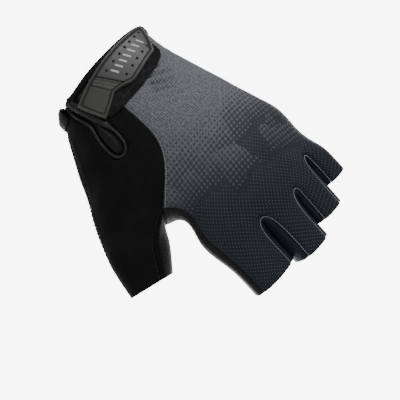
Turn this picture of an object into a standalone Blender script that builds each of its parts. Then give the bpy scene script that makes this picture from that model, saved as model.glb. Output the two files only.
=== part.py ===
"""Half-finger cycling glove for a left hand, in the form that it has when worn.

Metres. The origin is the centre of the wrist opening, -Y points to the fingertips, +Z out of the back of
the hand, and the thumb is on -X. One quad cage, worked out from the tables below, is subdivided once and cut
along the seams into the panels. Each panel gets its own wall, so neighbours share the run of a seam.
"""

import math

import bmesh
import bpy
import numpy as np
from mathutils import Vector
from mathutils.bvhtree import BVHTree

WRIST_WIDTH = 0.071
WRIST_DEPTH = 0.044
PALM_LENGTH = 0.131
KNUCKLE_WIDTH = 0.087
KNUCKLE_DEPTH = 0.033
THUMB_LENGTH = 0.0325
BACK_WALL = 0.0012
PALM_WALL = 0.0018
THUMB_WALL = 0.0013
FOURCHETTE_WALL = 0.0010
EDGE_WALL = 0.0012
SEAM_GAP = 0.0003
SEAM_DIP = 0.0003
LAYER_GAP = 0.0004
BINDING_WALL = 0.0008
BINDING_LEG = 0.0034
BINDING_INSET = 0.0014
WELT_RADIUS = 0.0011
LOOP_THICKNESS = 0.0012
STRAP_THICKNESS = 0.0022
STRAP_RIM = 0.0004

# Sections across the hand. at: share of the palm length. wrist: how far the wrist sizes rule over the knuckle
# sizes. left, right: the sides, in half widths. left_z, right_z: their heights, in half depths. up, down: bulge
# of back and palm, in half depths. seam: angle in degrees of the edge of the back panel, 180 on the thumb side.
# lean: how far the palm side lags towards the wrist. pinch: how far the web is drawn in.
SECTIONS = [
    # at, wrist, left, right, left_z, right_z, up, down, seam, lean, pinch
    (0.00, 1.0, -1.02, 1.00, 0.00, 0.00, 1.00, 1.00, 114, 0.000, 0.0),
    (0.075, 0.9, -1.26, 0.95, -0.15, 0.00, 1.08, 0.98, 102, 0.000, 0.0),
    (0.17, 0.8, -1.41, 0.94, -0.38, 0.00, 1.22, 0.95, 98, 0.000, 0.0),
    (0.255, 0.6, -1.52, 0.94, -0.60, 0.00, 1.38, 0.90, 95, 0.000, 0.0),
    (0.355, 0.4, -1.57, 0.96, -0.85, -0.02, 1.56, 0.85, 94.5, 0.000, 0.0),
    (0.45, 0.2, -1.62, 0.99, -1.12, -0.06, 1.68, 0.75, 94.5, 0.000, 0.0),
    (0.55, 0.1, -1.69, 1.03, -1.40, -0.12, 1.76, 0.65, 102, 0.000, 0.0),
    (0.64, 0.0, -1.74, 1.08, -1.62, -0.25, 1.80, 0.60, 118, 0.000, 0.4),
    (0.73, 0.0, -0.915, 1.12, -0.30, -0.30, 1.48, 0.72, 164, 0.005, 0.85),
    (0.81, 0.0, -0.945, 1.12, -0.40, -0.42, 1.48, 0.60, 170, 0.012, 0.90),
    (0.89, 0.0, -1.04, 1.10, -0.56, -0.60, 1.36, 0.60, 166, 0.034, 0.62),
    (1.00, 0.0, -1.05, 1.10, -0.60, -0.70, 1.05, 0.70, 162, 0.060, 0.0),
]
WEB_ROW = 7
SLIT_ROWS = 4
# Round the slit, by row: angle of its middle in degrees, and half its width in metres.
SLIT = [(160, 0.0014), (134, 0.0019), (124, 0.0030), (118, 0.0046), (115, 0.0030)]
# Where the nine lines of the back cross a section, from the index side to the little side.
SPLITS = (0.0, 0.22, 0.43, 0.515, 0.607, 0.713, 0.818, 0.909, 1.0)
# How far each line runs, as a share of the palm length at the crotches.
REACH = (0.95, 0.965, 0.977, 1.00, 1.013, 0.98, 0.937, 0.92, 0.90)
KNUCKLES = (0.0, 1.0, -0.5, 1.0, -0.5, 1.0, -0.5, 0.8, 0.0)
KNUCKLE_RISE = 0.0014

# Fingers from index to little. length, width, depth in metres at the cut edge. aside: shift away from the
# thumb, in metres. yaw: degrees away from the thumb. pitch: degrees down at the crotch and at the cut edge.
# left, top, right: angles of the seams and of the middle line of the back at the cut edge.
FINGERS = [
    # length, width, depth, aside, yaw, first pitch, last pitch, left, top, right
    (0.0325, 0.0310, 0.0235, 0.0012, 0.0, 24.0, 30.0, 158, 96, 36),
    (0.0335, 0.0230, 0.0225, 0.0007, -1.5, 22.0, 30.0, 126, 88, 42),
    (0.0290, 0.0200, 0.0205, -0.0001, -1.5, 22.0, 30.0, 126, 88, 42),
    (0.0250, 0.0170, 0.0185, 0.0024, 0.0, 22.0, 30.0, 126, 82, 40),
]
FINGER_RINGS = 3

# Thumb, by ring: share of its length, width, depth, and the slope of the ring towards the palm.
THUMB_RINGS = [
    (0.28, 0.0405, 0.0320, 0.0),
    (0.55, 0.0368, 0.0300, -0.05),
    (0.80, 0.0325, 0.0275, -0.12),
    (1.00, 0.0285, 0.0250, -0.20),
]
THUMB_AIM = (-0.44, -0.82, -0.37)
THUMB_ROLL = 18.0
THUMB_ANGLES = (60, 84, 106, 132, 157, 180, -157, -130, -102, -75, -40, 0)
THUMB_SHEAR = 0.34
SECTION_POWER = 0.86
FINGER_POWER = 0.72

PANELS = (
    ("back_panel", BACK_WALL, (0.115, 0.118, 0.125), 0.85),
    ("palm_panel", PALM_WALL, (0.012, 0.012, 0.013), 0.60),
    ("thumb_panel", THUMB_WALL, (0.010, 0.010, 0.010), 0.90),
    ("thumb_gusset", FOURCHETTE_WALL, (0.014, 0.014, 0.015), 0.70),
    ("fourchette_index_middle", FOURCHETTE_WALL, (0.015, 0.018, 0.024), 0.50),
    ("fourchette_middle_ring", FOURCHETTE_WALL, (0.015, 0.018, 0.024), 0.50),
    ("fourchette_ring_little", FOURCHETTE_WALL, (0.015, 0.018, 0.024), 0.50),
    ("slit_gusset", FOURCHETTE_WALL, (0.016, 0.016, 0.017), 0.75),
)
BACK, PALM, THUMB, GUSSET, FOURCHETTE, SLIT_GUSSET = 0, 1, 2, 3, 4, 7


def clear_scene():
    for obj in list(bpy.data.objects):
        bpy.data.objects.remove(obj)


def unit(v):
    return v / np.linalg.norm(v)


def material(name, colour, roughness, metallic=0.0):
    made = bpy.data.materials.new(name)
    made.use_nodes = True
    shader = made.node_tree.nodes["Principled BSDF"]
    shader.inputs["Base Color"].default_value = (*colour, 1.0)
    shader.inputs["Roughness"].default_value = roughness
    shader.inputs["Metallic"].default_value = metallic
    return made


def section_sizes(row):
    """Side points, bulges, seam angle, lean and pinch of one section, in metres."""
    at, wrist, left, right, left_z, right_z, up, down, seam, lean, pinch = row
    half = (wrist * WRIST_WIDTH + (1 - wrist) * KNUCKLE_WIDTH) / 2
    deep = (wrist * WRIST_DEPTH + (1 - wrist) * KNUCKLE_DEPTH) / 2
    sides = (half * left, deep * left_z, half * right, deep * right_z)
    return sides, deep * up, deep * down, seam, lean * PALM_LENGTH, pinch


def on_section(row, degrees):
    """The point of a section at this angle: x, z and the share of the way down to the palm side."""
    (x0, z0, x1, z1), up, down, _, _, _ = section_sizes(row)
    angle = math.radians(degrees)
    c = math.cos(angle)
    s = math.sin(angle)
    across = math.copysign(abs(c) ** SECTION_POWER, c)
    bulge = math.copysign(abs(s) ** SECTION_POWER, s)
    x = (x0 + x1) / 2 + across * (x1 - x0) / 2
    chord = z0 + (z1 - z0) * (x - x0) / (x1 - x0)
    return x, chord + bulge * (up if s > 0 else down), chord, 0.5 - bulge / 2


def thumb_angles(row_index, seam):
    """Angles of the four lines between the back panel's edge and the outer side of the thumb."""
    row = SECTIONS[row_index]
    outer = 162.0 if row_index <= SLIT_ROWS else 158.0
    even = [seam + (outer - seam) * k / 4 for k in (1, 2, 3, 4)]
    if row_index > SLIT_ROWS:
        return even
    middle, half = SLIT[row_index]
    radius = (section_sizes(row)[0][2] - section_sizes(row)[0][0]) / 2
    turn = math.degrees(half / (0.8 * radius))
    return [middle - turn, middle, middle + turn, middle + turn + 8.0]


class Cage:
    """Points by name, and quads with the number of their panel."""

    def __init__(self):
        self.points = []
        self.index = {}
        self.faces = []
        self.panels = []

    def add(self, key, point):
        self.index[key] = len(self.points)
        self.points.append(np.array(point, float))

    def at(self, key):
        return self.points[self.index[key]]

    def quad(self, keys, panel):
        self.faces.append([self.index[key] for key in keys])
        self.panels.append(panel)


def palm_row(cage, number):
    """One ring across the hand: D lines on the back, P lines on the palm, T and Q lines round the thumb base."""
    row = SECTIONS[number]
    seam = row[8]
    _, _, _, _, lean, pinch = section_sizes(row)
    start = -row[0] * PALM_LENGTH
    late = max(0.0, (row[0] - 0.5) / 0.5)

    def place(key, degrees, reach=1.0, shear=0.0, drawn=0.0, rise=0.0):
        x, z, chord, low = on_section(row, degrees)
        z = chord + (z - chord) * (1 - drawn) + rise
        y = start * reach * (1 - shear * THUMB_SHEAR * row[0] / SECTIONS[WEB_ROW][0]) + lean * low
        cage.add((key, number), (x, y, z))

    for j, split in enumerate(SPLITS):
        degrees = seam + (26 - seam) * split
        reach = 1 + (REACH[j] - 1) * late
        drawn = pinch * (1.0, 0.65, 0.3, 0.1, 0, 0, 0, 0, 0)[j]
        bump = KNUCKLE_RISE * KNUCKLES[j] * max(0.0, 1 - abs(row[0] - 0.82) / 0.18)
        place(f"D{j}", degrees, reach, drawn=drawn * (0.3 if number <= WEB_ROW else 0.0), rise=bump)
        place(f"P{j}", -degrees, reach, drawn=drawn)
    place("R", 0, 1 + (REACH[8] - 1) * late)
    if number > WEB_ROW:
        place("M", 180, 1 + (REACH[0] - 1) * late)
        return
    if number == WEB_ROW:
        middle = (cage.at(("D0", number)) + cage.at(("P0", number))) / 2
        cage.add(("M", number), middle + np.array((0.0, -0.0015, 0.0)))
    for k, degrees in enumerate(thumb_angles(number, seam), 1):
        shear = (180 - seam) and (degrees - seam) / (180 - seam)
        drawn = pinch * (0.5, 0.15, 0, 0)[k - 1]
        place(f"T{k}", degrees, 1.0, shear, drawn * 0.3)
        mirrored = seam + (158 - seam) * k / 4
        place(f"Q{k}", -mirrored, 1.0, (mirrored - seam) / (180 - seam), drawn)
    place("O", 180, 1.0, 1.0)
    if number == SLIT_ROWS:
        cage.points[cage.index[("T2", number)]][1] -= 0.0028


def row_keys(number):
    keys = [f"D{j}" for j in range(9)] + ["R"] + [f"P{j}" for j in range(8, -1, -1)]
    if number <= WEB_ROW:
        keys += ["Q1", "Q2", "Q3", "Q4", "O", "T4", "T3", "T2", "T1"]
    else:
        keys += ["M"]
    return keys


def palm_panel_of(first, second, number):
    """The panel of the quad between two lines of the palm, after this row."""
    pair = {first, second}
    if pair <= {f"D{j}" for j in range(9)} | {"R"}:
        return BACK
    if number < SLIT_ROWS and pair in ({"T1", "T2"}, {"T2", "T3"}):
        return SLIT_GUSSET
    if pair <= {"D0", "T1", "T2", "T3", "T4", "O"} and pair != {"D0", "O"}:
        return THUMB
    return PALM


def build_palm(cage):
    for number in range(len(SECTIONS)):
        palm_row(cage, number)
    for number in range(len(SECTIONS) - 1):
        lines = row_keys(number) if number < WEB_ROW else row_keys(number + 1)
        for first, second in zip(lines, lines[1:] + lines[:1]):
            keys = [(first, number), (first, number + 1), (second, number + 1), (second, number)]
            cage.quad(keys, palm_panel_of(first, second, number))


def aim(yaw, pitch):
    yaw, pitch = math.radians(yaw), math.radians(pitch)
    return np.array((math.sin(yaw) * math.cos(pitch), -math.cos(yaw) * math.cos(pitch), -math.sin(pitch)))


def ring_points(centre, along, width, depth, angles, roll=0.0, slope=0.0, power=0.9):
    across = unit(np.cross((0, 0, 1), along))
    up = np.cross(along, across)
    turn = math.radians(roll)
    across, up = across * math.cos(turn) + up * math.sin(turn), up * math.cos(turn) - across * math.sin(turn)
    points = []
    for degrees in angles:
        c = math.cos(math.radians(degrees))
        s = math.sin(math.radians(degrees))
        a = math.copysign(abs(c) ** power, c) * width / 2
        b = math.copysign(abs(s) ** power, s) * depth / 2
        points.append(centre + across * a + up * b + along * a * slope)
    return points


def build_fingers(cage):
    last = len(SECTIONS) - 1
    for j in (2, 4, 6):
        middle = (cage.at((f"D{j}", last)) + cage.at((f"P{j}", last))) / 2
        cage.add((f"C{j}", last), middle)
    for i, (length, width, depth, aside, yaw, first_pitch, last_pitch, side, top, inner) in enumerate(FINGERS):
        angles = (side, top, inner, 0, -35, -90, -145, 180)
        left, right = ("M", f"C{2}") if i == 0 else (f"C{2 * i}", "R" if i == 3 else f"C{2 * i + 2}")
        a, b, c = 2 * i, 2 * i + 1, 2 * i + 2
        base = [f"D{a}", f"D{b}", f"D{c}", right, f"P{c}", f"P{b}", f"P{a}", left]
        before = [(key, last) for key in base]
        centre = sum(cage.at(key) for key in before) / 8 + np.array((aside, 0.0, 0.0))
        for step in range(1, FINGER_RINGS + 1):
            share = step / FINGER_RINGS
            pitch = first_pitch + (last_pitch - first_pitch) * share
            along = aim(yaw, pitch)
            centre = centre + along * length / FINGER_RINGS
            keys = [(f"F{i}{name}", step) for name in ("a", "b", "c", "d", "e", "f", "g", "h")]
            for key, point in zip(keys, ring_points(centre, along, width, depth, angles, power=FINGER_POWER)):
                cage.add(key, point)
            for n in range(8):
                panel = BACK if n < 2 else PALM
                if n in (2, 3):
                    panel = FOURCHETTE + i if i < 3 else (BACK if n == 2 else PALM)
                if n in (6, 7):
                    panel = FOURCHETTE + i - 1 if i > 0 else PALM
                m = (n + 1) % 8
                cage.quad([before[n], keys[n], keys[m], before[m]], panel)
            before = keys


def build_thumb(cage):
    names = ["D0", "T1", "T2", "T3", "T4", "O", "Q4", "Q3", "Q2", "Q1", "P0", "M"]
    before = [(name, WEB_ROW) for name in names]
    start = sum(cage.at(key) for key in before) / len(before)
    along = unit(np.array(THUMB_AIM))
    for step, (share, width, depth, slope) in enumerate(THUMB_RINGS, 1):
        centre = start + along * THUMB_LENGTH * share
        keys = [(f"U{name}", step) for name in names]
        for key, point in zip(keys, ring_points(centre, along, width, depth, THUMB_ANGLES, THUMB_ROLL, slope)):
            cage.add(key, point)
        for n in range(12):
            panel = THUMB if n < 5 else (PALM if n < 10 else GUSSET)
            m = (n + 1) % 12
            cage.quad([before[m], keys[m], keys[n], before[n]], panel)
        before = keys


def subdivided(cage):
    """The cage after one round of subdivision: points, normals, quads and their panels."""
    mesh = bpy.data.meshes.new("cage")
    mesh.from_pydata([tuple(p) for p in cage.points], [], cage.faces)
    for polygon, panel in zip(mesh.polygons, cage.panels):
        polygon.material_index = panel
    for _ in range(len(PANELS)):
        mesh.materials.append(None)
    obj = bpy.data.objects.new("cage", mesh)
    bpy.context.scene.collection.objects.link(obj)
    subsurf = obj.modifiers.new("round", "SUBSURF")
    subsurf.levels = 1
    subsurf.render_levels = 1
    graph = bpy.context.evaluated_depsgraph_get()
    done = bpy.data.meshes.new_from_object(obj.evaluated_get(graph))
    points = np.array([v.co[:] for v in done.vertices])
    normals = np.array([v.normal[:] for v in done.vertices])
    faces = [list(p.vertices) for p in done.polygons]
    panels = [p.material_index for p in done.polygons]
    bpy.data.objects.remove(obj)
    return points, normals, faces, panels


def border_edges(faces, panels, panel):
    """Edges of a panel's border, each with the panel on its other side, or None where the cloth ends."""
    owner = {}
    for face, number in zip(faces, panels):
        for a, b in zip(face, face[1:] + face[:1]):
            owner[(a, b)] = number
    return {
        (a, b): owner.get((b, a))
        for (a, b), number in owner.items()
        if number == panel and owner.get((b, a)) != panel
    }


def border_inset(panel, other, point):
    """How far a panel's border stands back from the line that it shares."""
    if other is None:
        return BINDING_INSET if point[1] > -0.01 else 0.0
    if {panel, other} == {THUMB, SLIT_GUSSET}:
        return WELT_RADIUS + 2 * SEAM_GAP if panel == THUMB else 0.0
    return SEAM_GAP / 2


def border_shifts(points, normals, border, panel):
    """For each border point, the move within the surface that gives both its edges their inset."""
    edges_at = {}
    for (a, b), other in border.items():
        middle = (points[a] + points[b]) / 2
        inward = np.cross(normals[a] + normals[b], points[b] - points[a])
        for v in (a, b):
            edges_at.setdefault(v, []).append((unit(inward), border_inset(panel, other, middle)))
    shifts = {}
    for v, found in edges_at.items():
        (q1, d1), (q2, d2) = found[0], found[-1]
        c = min(0.999, max(-0.6, float(q1 @ q2)))
        if c > 0.985:
            shifts[v] = unit(q1 + q2) * (d1 + d2) / 2
        else:
            shifts[v] = (q1 * (d1 - c * d2) + q2 * (d2 - c * d1)) / (1 - c * c)
    return shifts


def panel_mesh(points, normals, faces, panels, panel, wall):
    """A closed wall: the outer face of a panel, its inner face and the rim between them."""
    own = [face for face, number in zip(faces, panels) if number == panel]
    used = sorted({v for face in own for v in face})
    number_of = {v: n for n, v in enumerate(used)}
    border = border_edges(faces, panels, panel)
    shifts = border_shifts(points, normals, border, panel)
    seams = {v for (a, b), other in border.items() if other is not None for v in (a, b)}
    outer = []
    inner = []
    for v in used:
        near_edge = max(0.0, min(1.0, 1 + points[v][1] / 0.012))
        thick = EDGE_WALL * near_edge + wall * (1 - near_edge)
        drop = (SEAM_DIP if v in seams else 0.0) * (1 - near_edge)
        top = points[v] + shifts.get(v, 0.0)
        if panel == SLIT_GUSSET:
            drop = WELT_RADIUS + 0.0004 + LAYER_GAP - (0.0 if v in shifts else 0.0009)
        outer.append(top - normals[v] * drop)
        inner.append(top - normals[v] * (thick + (drop if panel == SLIT_GUSSET else 0.0)))
    count = len(used)
    quads = [[number_of[v] for v in face] for face in own]
    quads += [[number_of[v] + count for v in reversed(face)] for face in own]
    quads += [[number_of[b], number_of[a], number_of[a] + count, number_of[b] + count] for a, b in border]
    return outer + inner, quads


def add_object(name, points, faces, look):
    mesh = bpy.data.meshes.new(name)
    mesh.from_pydata([tuple(p) for p in points], [], faces)
    made = bmesh.new()
    made.from_mesh(mesh)
    bmesh.ops.recalc_face_normals(made, faces=made.faces)
    bmesh.ops.triangulate(made, faces=made.faces, quad_method="SHORT_EDGE")
    made.to_mesh(mesh)
    made.free()
    for polygon in mesh.polygons:
        polygon.use_smooth = True
    mesh.materials.append(material(f"{name}_look", *look))
    obj = bpy.data.objects.new(name, mesh)
    bpy.context.scene.collection.objects.link(obj)
    return obj


def build_panels(points, normals, faces, panels):
    for number, (name, wall, colour, roughness) in enumerate(PANELS):
        add_object(name, *panel_mesh(points, normals, faces, panels, number, wall), (colour, roughness))


def swept(stations, closed_path=False):
    """Faces of a tube through rings of equal length, capped unless the path is closed."""
    rings = len(stations)
    around = len(stations[0])
    points = [p for ring in stations for p in ring]
    faces = []
    for i in range(rings if closed_path else rings - 1):
        j = (i + 1) % rings
        for k in range(around):
            m = (k + 1) % around
            faces.append([i * around + k, i * around + m, j * around + m, j * around + k])
    if not closed_path:
        faces.append([k for k in range(around)][::-1])
        faces.append([(rings - 1) * around + k for k in range(around)])
    return points, faces


def border_path(edges):
    """The points along a run of border edges, in order."""
    following = dict(edges)
    starts = set(following) - set(following.values())
    at = starts.pop() if starts else next(iter(following))
    path = [at]
    while at in following:
        at = following.pop(at)
        path.append(at)
    return path


def build_cuff_binding(points, normals, faces, panels):
    """Tape folded over the wrist edge, from one lip of the slit round to the other."""
    edges = []
    for panel in (BACK, PALM, THUMB):
        for (a, b), other in border_edges(faces, panels, panel).items():
            if other is None and points[a][1] > -0.01 and points[b][1] > -0.01:
                edges.append((a, b))
    path = border_path(edges)
    gap = LAYER_GAP * 0.8
    out = gap + BINDING_WALL
    low = -EDGE_WALL - gap
    stations = []
    for n, v in enumerate(path):
        tangent = unit(points[path[min(n + 1, len(path) - 1)]] - points[path[max(n - 1, 0)]])
        up = unit(normals[v] - tangent * (normals[v] @ tangent))
        forward = unit(np.cross(tangent, up))
        forward = forward if forward[1] > 0 else -forward
        base = points[v]
        if n in (0, len(path) - 1):
            base = base + tangent * (0.0009 if n == 0 else -0.0009)
        profile = [
            (out, -BINDING_LEG), (out, -0.0005), (out * 0.5, 0.0001), (low * 0.7, 0.0001),
            (low - BINDING_WALL, -0.0005), (low - BINDING_WALL, -BINDING_LEG),
            (low, -BINDING_LEG), (low, -BINDING_INSET + gap), (gap, -BINDING_INSET + gap), (gap, -BINDING_LEG),
        ]
        stations.append([base + up * a + forward * b for a, b in profile])
    add_object("cuff_binding", *swept(stations), ((0.012, 0.012, 0.013), 0.8))


def build_slit_binding(points, normals, faces, panels):
    """Rolled welt along the edge of the slit, from the cuff round its end and back."""
    edges = [edge for edge, other in border_edges(faces, panels, THUMB).items() if other == SLIT_GUSSET]
    path = border_path(edges)
    line = np.array([points[v] - normals[v] * 0.0003 for v in path])
    ups = np.array([normals[v] for v in path])
    keep = line[:, 1] < -BINDING_LEG - WELT_RADIUS - 0.0004
    line, ups = line[keep], ups[keep]
    for _ in range(1):
        line[1:-1] = line[1:-1] * 0.5 + (line[:-2] + line[2:]) * 0.25
    fine = np.empty((2 * len(line) - 1, 3))
    fine[::2] = line
    fine[1::2] = (line[1:] + line[:-1]) / 2
    fine_ups = np.empty_like(fine)
    fine_ups[::2] = ups
    fine_ups[1::2] = ups[1:] + ups[:-1]
    stations = []
    for n, centre in enumerate(fine):
        tangent = unit(fine[min(n + 1, len(fine) - 1)] - fine[max(n - 1, 0)])
        up = unit(fine_ups[n] - tangent * (fine_ups[n] @ tangent))
        side = np.cross(tangent, up)
        ring = []
        for k in range(8):
            turn = 2 * math.pi * k / 8
            ring.append(centre + (side * math.cos(turn) + up * math.sin(turn)) * WELT_RADIUS)
        stations.append(ring)
    add_object("slit_binding", *swept(stations), ((0.014, 0.014, 0.014), 0.7))


# The closing tab, from its sewn end on the thumb side to its tip. turn: degrees round the wrist, 180 on the
# thumb side. near, far: shares of the tab's reach for the edge at the cuff and the edge towards the hand.
# skew: degrees by which the far edge leads the near one.
STRAP_REACH = 0.0205
STRAP = [
    # turn, near, far, skew
    (144, 0.26, 1.22, -10.0),
    (131, 0.14, 1.10, -7.0),
    (116, 0.11, 0.98, -2.0),
    (107, 0.11, 0.90, 0.0),
    (101, 0.11, 0.88, 0.0),
    (95, 0.11, 1.00, 0.0),
    (86, 0.11, 1.02, 0.0),
    (66, 0.11, 0.97, 2.0),
    (52, 0.10, 0.92, 6.0),
    (41, 0.06, 0.84, 9.0),
    (37, 0.04, 0.72, 9.5),
]
LOOP_REACH = 0.0280
LOOP = [
    # turn, near, far, skew
    (139, 0.20, 0.98, -8.0),
    (124, 0.17, 1.02, -4.0),
    (100, 0.17, 1.00, 0.0),
    (90, 0.17, 1.00, 0.0),
    (66, 0.17, 0.88, 0.0),
    (50, 0.17, 0.78, 4.0),
    (41, 0.17, 0.68, 7.0),
]


def table_at(table, value):
    """A row between the rows of a table, by its first column, which falls."""
    rows = np.array(table, float)[::-1]
    return [float(np.interp(value, rows[:, 0], rows[:, k])) for k in range(1, rows.shape[1])]


def surface_at(tree, degrees, y):
    """The point and normal of the outer face round the wrist, at this angle and distance along the hand."""
    angle = math.radians(degrees)
    away = Vector((math.cos(angle) * WRIST_WIDTH, 0, math.sin(angle) * WRIST_DEPTH))
    start = Vector((0, y, 0)) + away * 3
    point, normal, _, _ = tree.ray_cast(start, -away.normalized())
    return np.array(point), np.array(normal)


def smooth_field(grid, rounds=2):
    for _ in range(rounds):
        padded = np.pad(grid, ((1, 1), (1, 1), (0, 0)), mode="edge")
        grid = (padded[:-2, 1:-1] + padded[2:, 1:-1] + padded[1:-1, :-2] + padded[1:-1, 2:] + 4 * grid) / 8
    return grid / np.linalg.norm(grid, axis=2)[:, :, None]


def layer(tree, table, reach, steps, shares, low, heights):
    """A slab that follows the glove: steps round the wrist, shares across it, heights of its top by place."""
    turns = np.linspace(table[0][0], table[-1][0], steps)
    base = np.empty((steps, len(shares), 3))
    ups = np.empty((steps, len(shares), 3))
    for i, turn in enumerate(turns):
        near, far, skew = table_at(table, turn)
        for j, share in enumerate(shares):
            y = -reach * (near + (far - near) * share)
            base[i, j], ups[i, j] = surface_at(tree, turn + skew * share, y)
    ups = smooth_field(ups)
    top = base + ups * (low + heights[:, :, None])
    bottom = base + ups * low
    count = steps * len(shares)
    wide = len(shares)
    points = list(top.reshape(-1, 3)) + list(bottom.reshape(-1, 3))
    faces = []
    for i in range(steps - 1):
        for j in range(wide - 1):
            a, b, c, d = i * wide + j, i * wide + j + 1, (i + 1) * wide + j + 1, (i + 1) * wide + j
            faces.append([a, b, c, d])
            faces.append([d + count, c + count, b + count, a + count])
    rim = [j for j in range(wide)] + [i * wide + wide - 1 for i in range(1, steps)]
    rim += [(steps - 1) * wide + j for j in range(wide - 2, -1, -1)] + [i * wide for i in range(steps - 2, 0, -1)]
    for a, b in zip(rim, rim[1:] + rim[:1]):
        faces.append([b, a, a + count, b + count])
    return points, faces


def build_strap_tab(tree):
    steps = 42
    shares = (0.0, 0.025, 0.09, 0.12, 0.35, 0.65, 0.88, 0.91, 0.975, 1.0)
    heights = np.full((steps, len(shares)), STRAP_THICKNESS - STRAP_RIM)
    heights[:, 1:3] = STRAP_THICKNESS
    heights[:, 7:9] = STRAP_THICKNESS
    heights[[1, 2, -2, -3], 1:9] = STRAP_THICKNESS
    heights[:, [0, -1]] = STRAP_THICKNESS * 0.72
    heights[[0, -1], :] = STRAP_THICKNESS * 0.72
    low = LAYER_GAP * 2 + LOOP_THICKNESS
    add_object("strap_tab", *layer(tree, STRAP, STRAP_REACH, steps, shares, low, heights), ((0.07, 0.07, 0.068), 0.55))


def build_loop_patch(tree):
    steps = 26
    shares = (0.0, 0.03, 0.25, 0.5, 0.75, 0.97, 1.0)
    heights = np.full((steps, len(shares)), LOOP_THICKNESS)
    heights[:, [0, -1]] = LOOP_THICKNESS * 0.7
    heights[[0, -1], :] = LOOP_THICKNESS * 0.7
    points, faces = layer(tree, LOOP, LOOP_REACH, steps, shares, LAYER_GAP, heights)
    add_object("loop_patch", points, faces, ((0.02, 0.02, 0.022), 0.95))


def main():
    clear_scene()
    cage = Cage()
    build_palm(cage)
    build_fingers(cage)
    build_thumb(cage)
    points, normals, faces, panels = subdivided(cage)
    tree = BVHTree.FromPolygons([tuple(p) for p in points], faces)
    build_panels(points, normals, faces, panels)
    build_cuff_binding(points, normals, faces, panels)
    build_slit_binding(points, normals, faces, panels)
    build_loop_patch(tree)
    build_strap_tab(tree)


main()
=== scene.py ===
"""Dresses the half-finger cycling glove: knit back, suede-like thumb, leather palm, moulded tab, pile patch.

Metres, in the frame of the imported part: the wrist opening at the origin, -Y to the fingertips, +Z out of the
back of the hand. The cloth panels are cut from one fine surface, so that they meet along the seams.
"""

import functools
import math

import bmesh
import bpy
import numpy as np
from bpy.props import FloatProperty, FloatVectorProperty, PointerProperty
from mathutils import Matrix, Vector, kdtree, noise
from mathutils.bvhtree import BVHTree


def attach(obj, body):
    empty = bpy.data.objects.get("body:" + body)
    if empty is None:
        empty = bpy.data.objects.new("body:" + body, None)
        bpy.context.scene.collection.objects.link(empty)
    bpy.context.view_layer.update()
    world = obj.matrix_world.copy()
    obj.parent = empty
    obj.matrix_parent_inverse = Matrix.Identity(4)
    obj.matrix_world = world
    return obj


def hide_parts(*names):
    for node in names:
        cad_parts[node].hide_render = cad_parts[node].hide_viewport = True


bl_info = {
    "name": "Cycling glove dresser",
    "version": (1, 0, 0),
    "blender": (4, 5, 0),
    "location": "View3D > Sidebar > Glove",
    "description": "Makes the cloth panels, trims, tab and stitches of a half-finger cycling glove",
    "category": "Object",
}

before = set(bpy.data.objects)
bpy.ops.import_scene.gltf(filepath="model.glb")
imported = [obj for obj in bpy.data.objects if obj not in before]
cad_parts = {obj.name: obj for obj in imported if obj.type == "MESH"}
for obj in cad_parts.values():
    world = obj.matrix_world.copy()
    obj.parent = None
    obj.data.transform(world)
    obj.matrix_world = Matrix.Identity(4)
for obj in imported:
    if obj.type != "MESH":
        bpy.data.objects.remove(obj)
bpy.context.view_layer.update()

WRIST_WIDTH = 0.071
WRIST_DEPTH = 0.044
PALM_LENGTH = 0.131
KNUCKLE_WIDTH = 0.087
KNUCKLE_DEPTH = 0.033
THUMB_LENGTH = 0.0325
SEAM_GAP = 0.0003
LAYER_GAP = 0.0004
STRAP_REACH = 0.0205
LOOP_REACH = 0.0280
LOOP_THICKNESS = 0.0012
STRAP_THICKNESS = 0.0022
FINE_LEVELS = 3
# An open border with a greater y than this belongs to the wrist opening.
WRIST_EDGE_Y = -0.01

# Sections across the hand. at: share of the palm length. wrist: how far the wrist sizes rule over the
# knuckle sizes. left, right: the sides, in half widths. left_z, right_z: their heights, in half depths.
# up, down: bulge of back and palm, in half depths. seam: angle in degrees of the edge of the back panel.
# lean: how far the palm side lags towards the wrist. pinch: how far the web is drawn in. Angles are 180 on
# the thumb side and 90 on the back.
SECTIONS = [
    # at, wrist, left, right, left_z, right_z, up, down, seam, lean, pinch
    (0.00, 1.0, -1.02, 1.00, 0.00, 0.00, 1.00, 1.00, 114, 0.000, 0.0),
    (0.075, 0.9, -1.26, 0.95, -0.15, 0.00, 1.08, 0.98, 102, 0.000, 0.0),
    (0.17, 0.8, -1.41, 0.94, -0.38, 0.00, 1.22, 0.95, 98, 0.000, 0.0),
    (0.255, 0.6, -1.52, 0.94, -0.60, 0.00, 1.38, 0.90, 95, 0.000, 0.0),
    (0.355, 0.4, -1.57, 0.96, -0.85, -0.02, 1.56, 0.85, 94.5, 0.000, 0.0),
    (0.45, 0.2, -1.62, 0.99, -1.12, -0.06, 1.68, 0.75, 94.5, 0.000, 0.0),
    (0.55, 0.1, -1.69, 1.03, -1.40, -0.12, 1.76, 0.65, 102, 0.000, 0.0),
    (0.64, 0.0, -1.74, 1.08, -1.62, -0.25, 1.80, 0.60, 118, 0.000, 0.4),
    (0.73, 0.0, -0.915, 1.12, -0.30, -0.30, 1.48, 0.72, 164, 0.005, 0.85),
    (0.81, 0.0, -0.945, 1.12, -0.40, -0.42, 1.48, 0.60, 170, 0.012, 0.90),
    (0.89, 0.0, -1.04, 1.10, -0.56, -0.60, 1.36, 0.60, 166, 0.034, 0.62),
    (1.00, 0.0, -1.05, 1.10, -0.60, -0.70, 1.05, 0.70, 162, 0.060, 0.0),
]
WEB_ROW = 7
WEB_DEPTH = 0.0015
SLIT_ROWS = 4
# Round the slit, by row: angle of its middle in degrees, and half its width in metres.
SLIT = [(160, 0.0014), (134, 0.0014), (124, 0.0024), (118, 0.0045), (115, 0.0034)]
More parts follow.
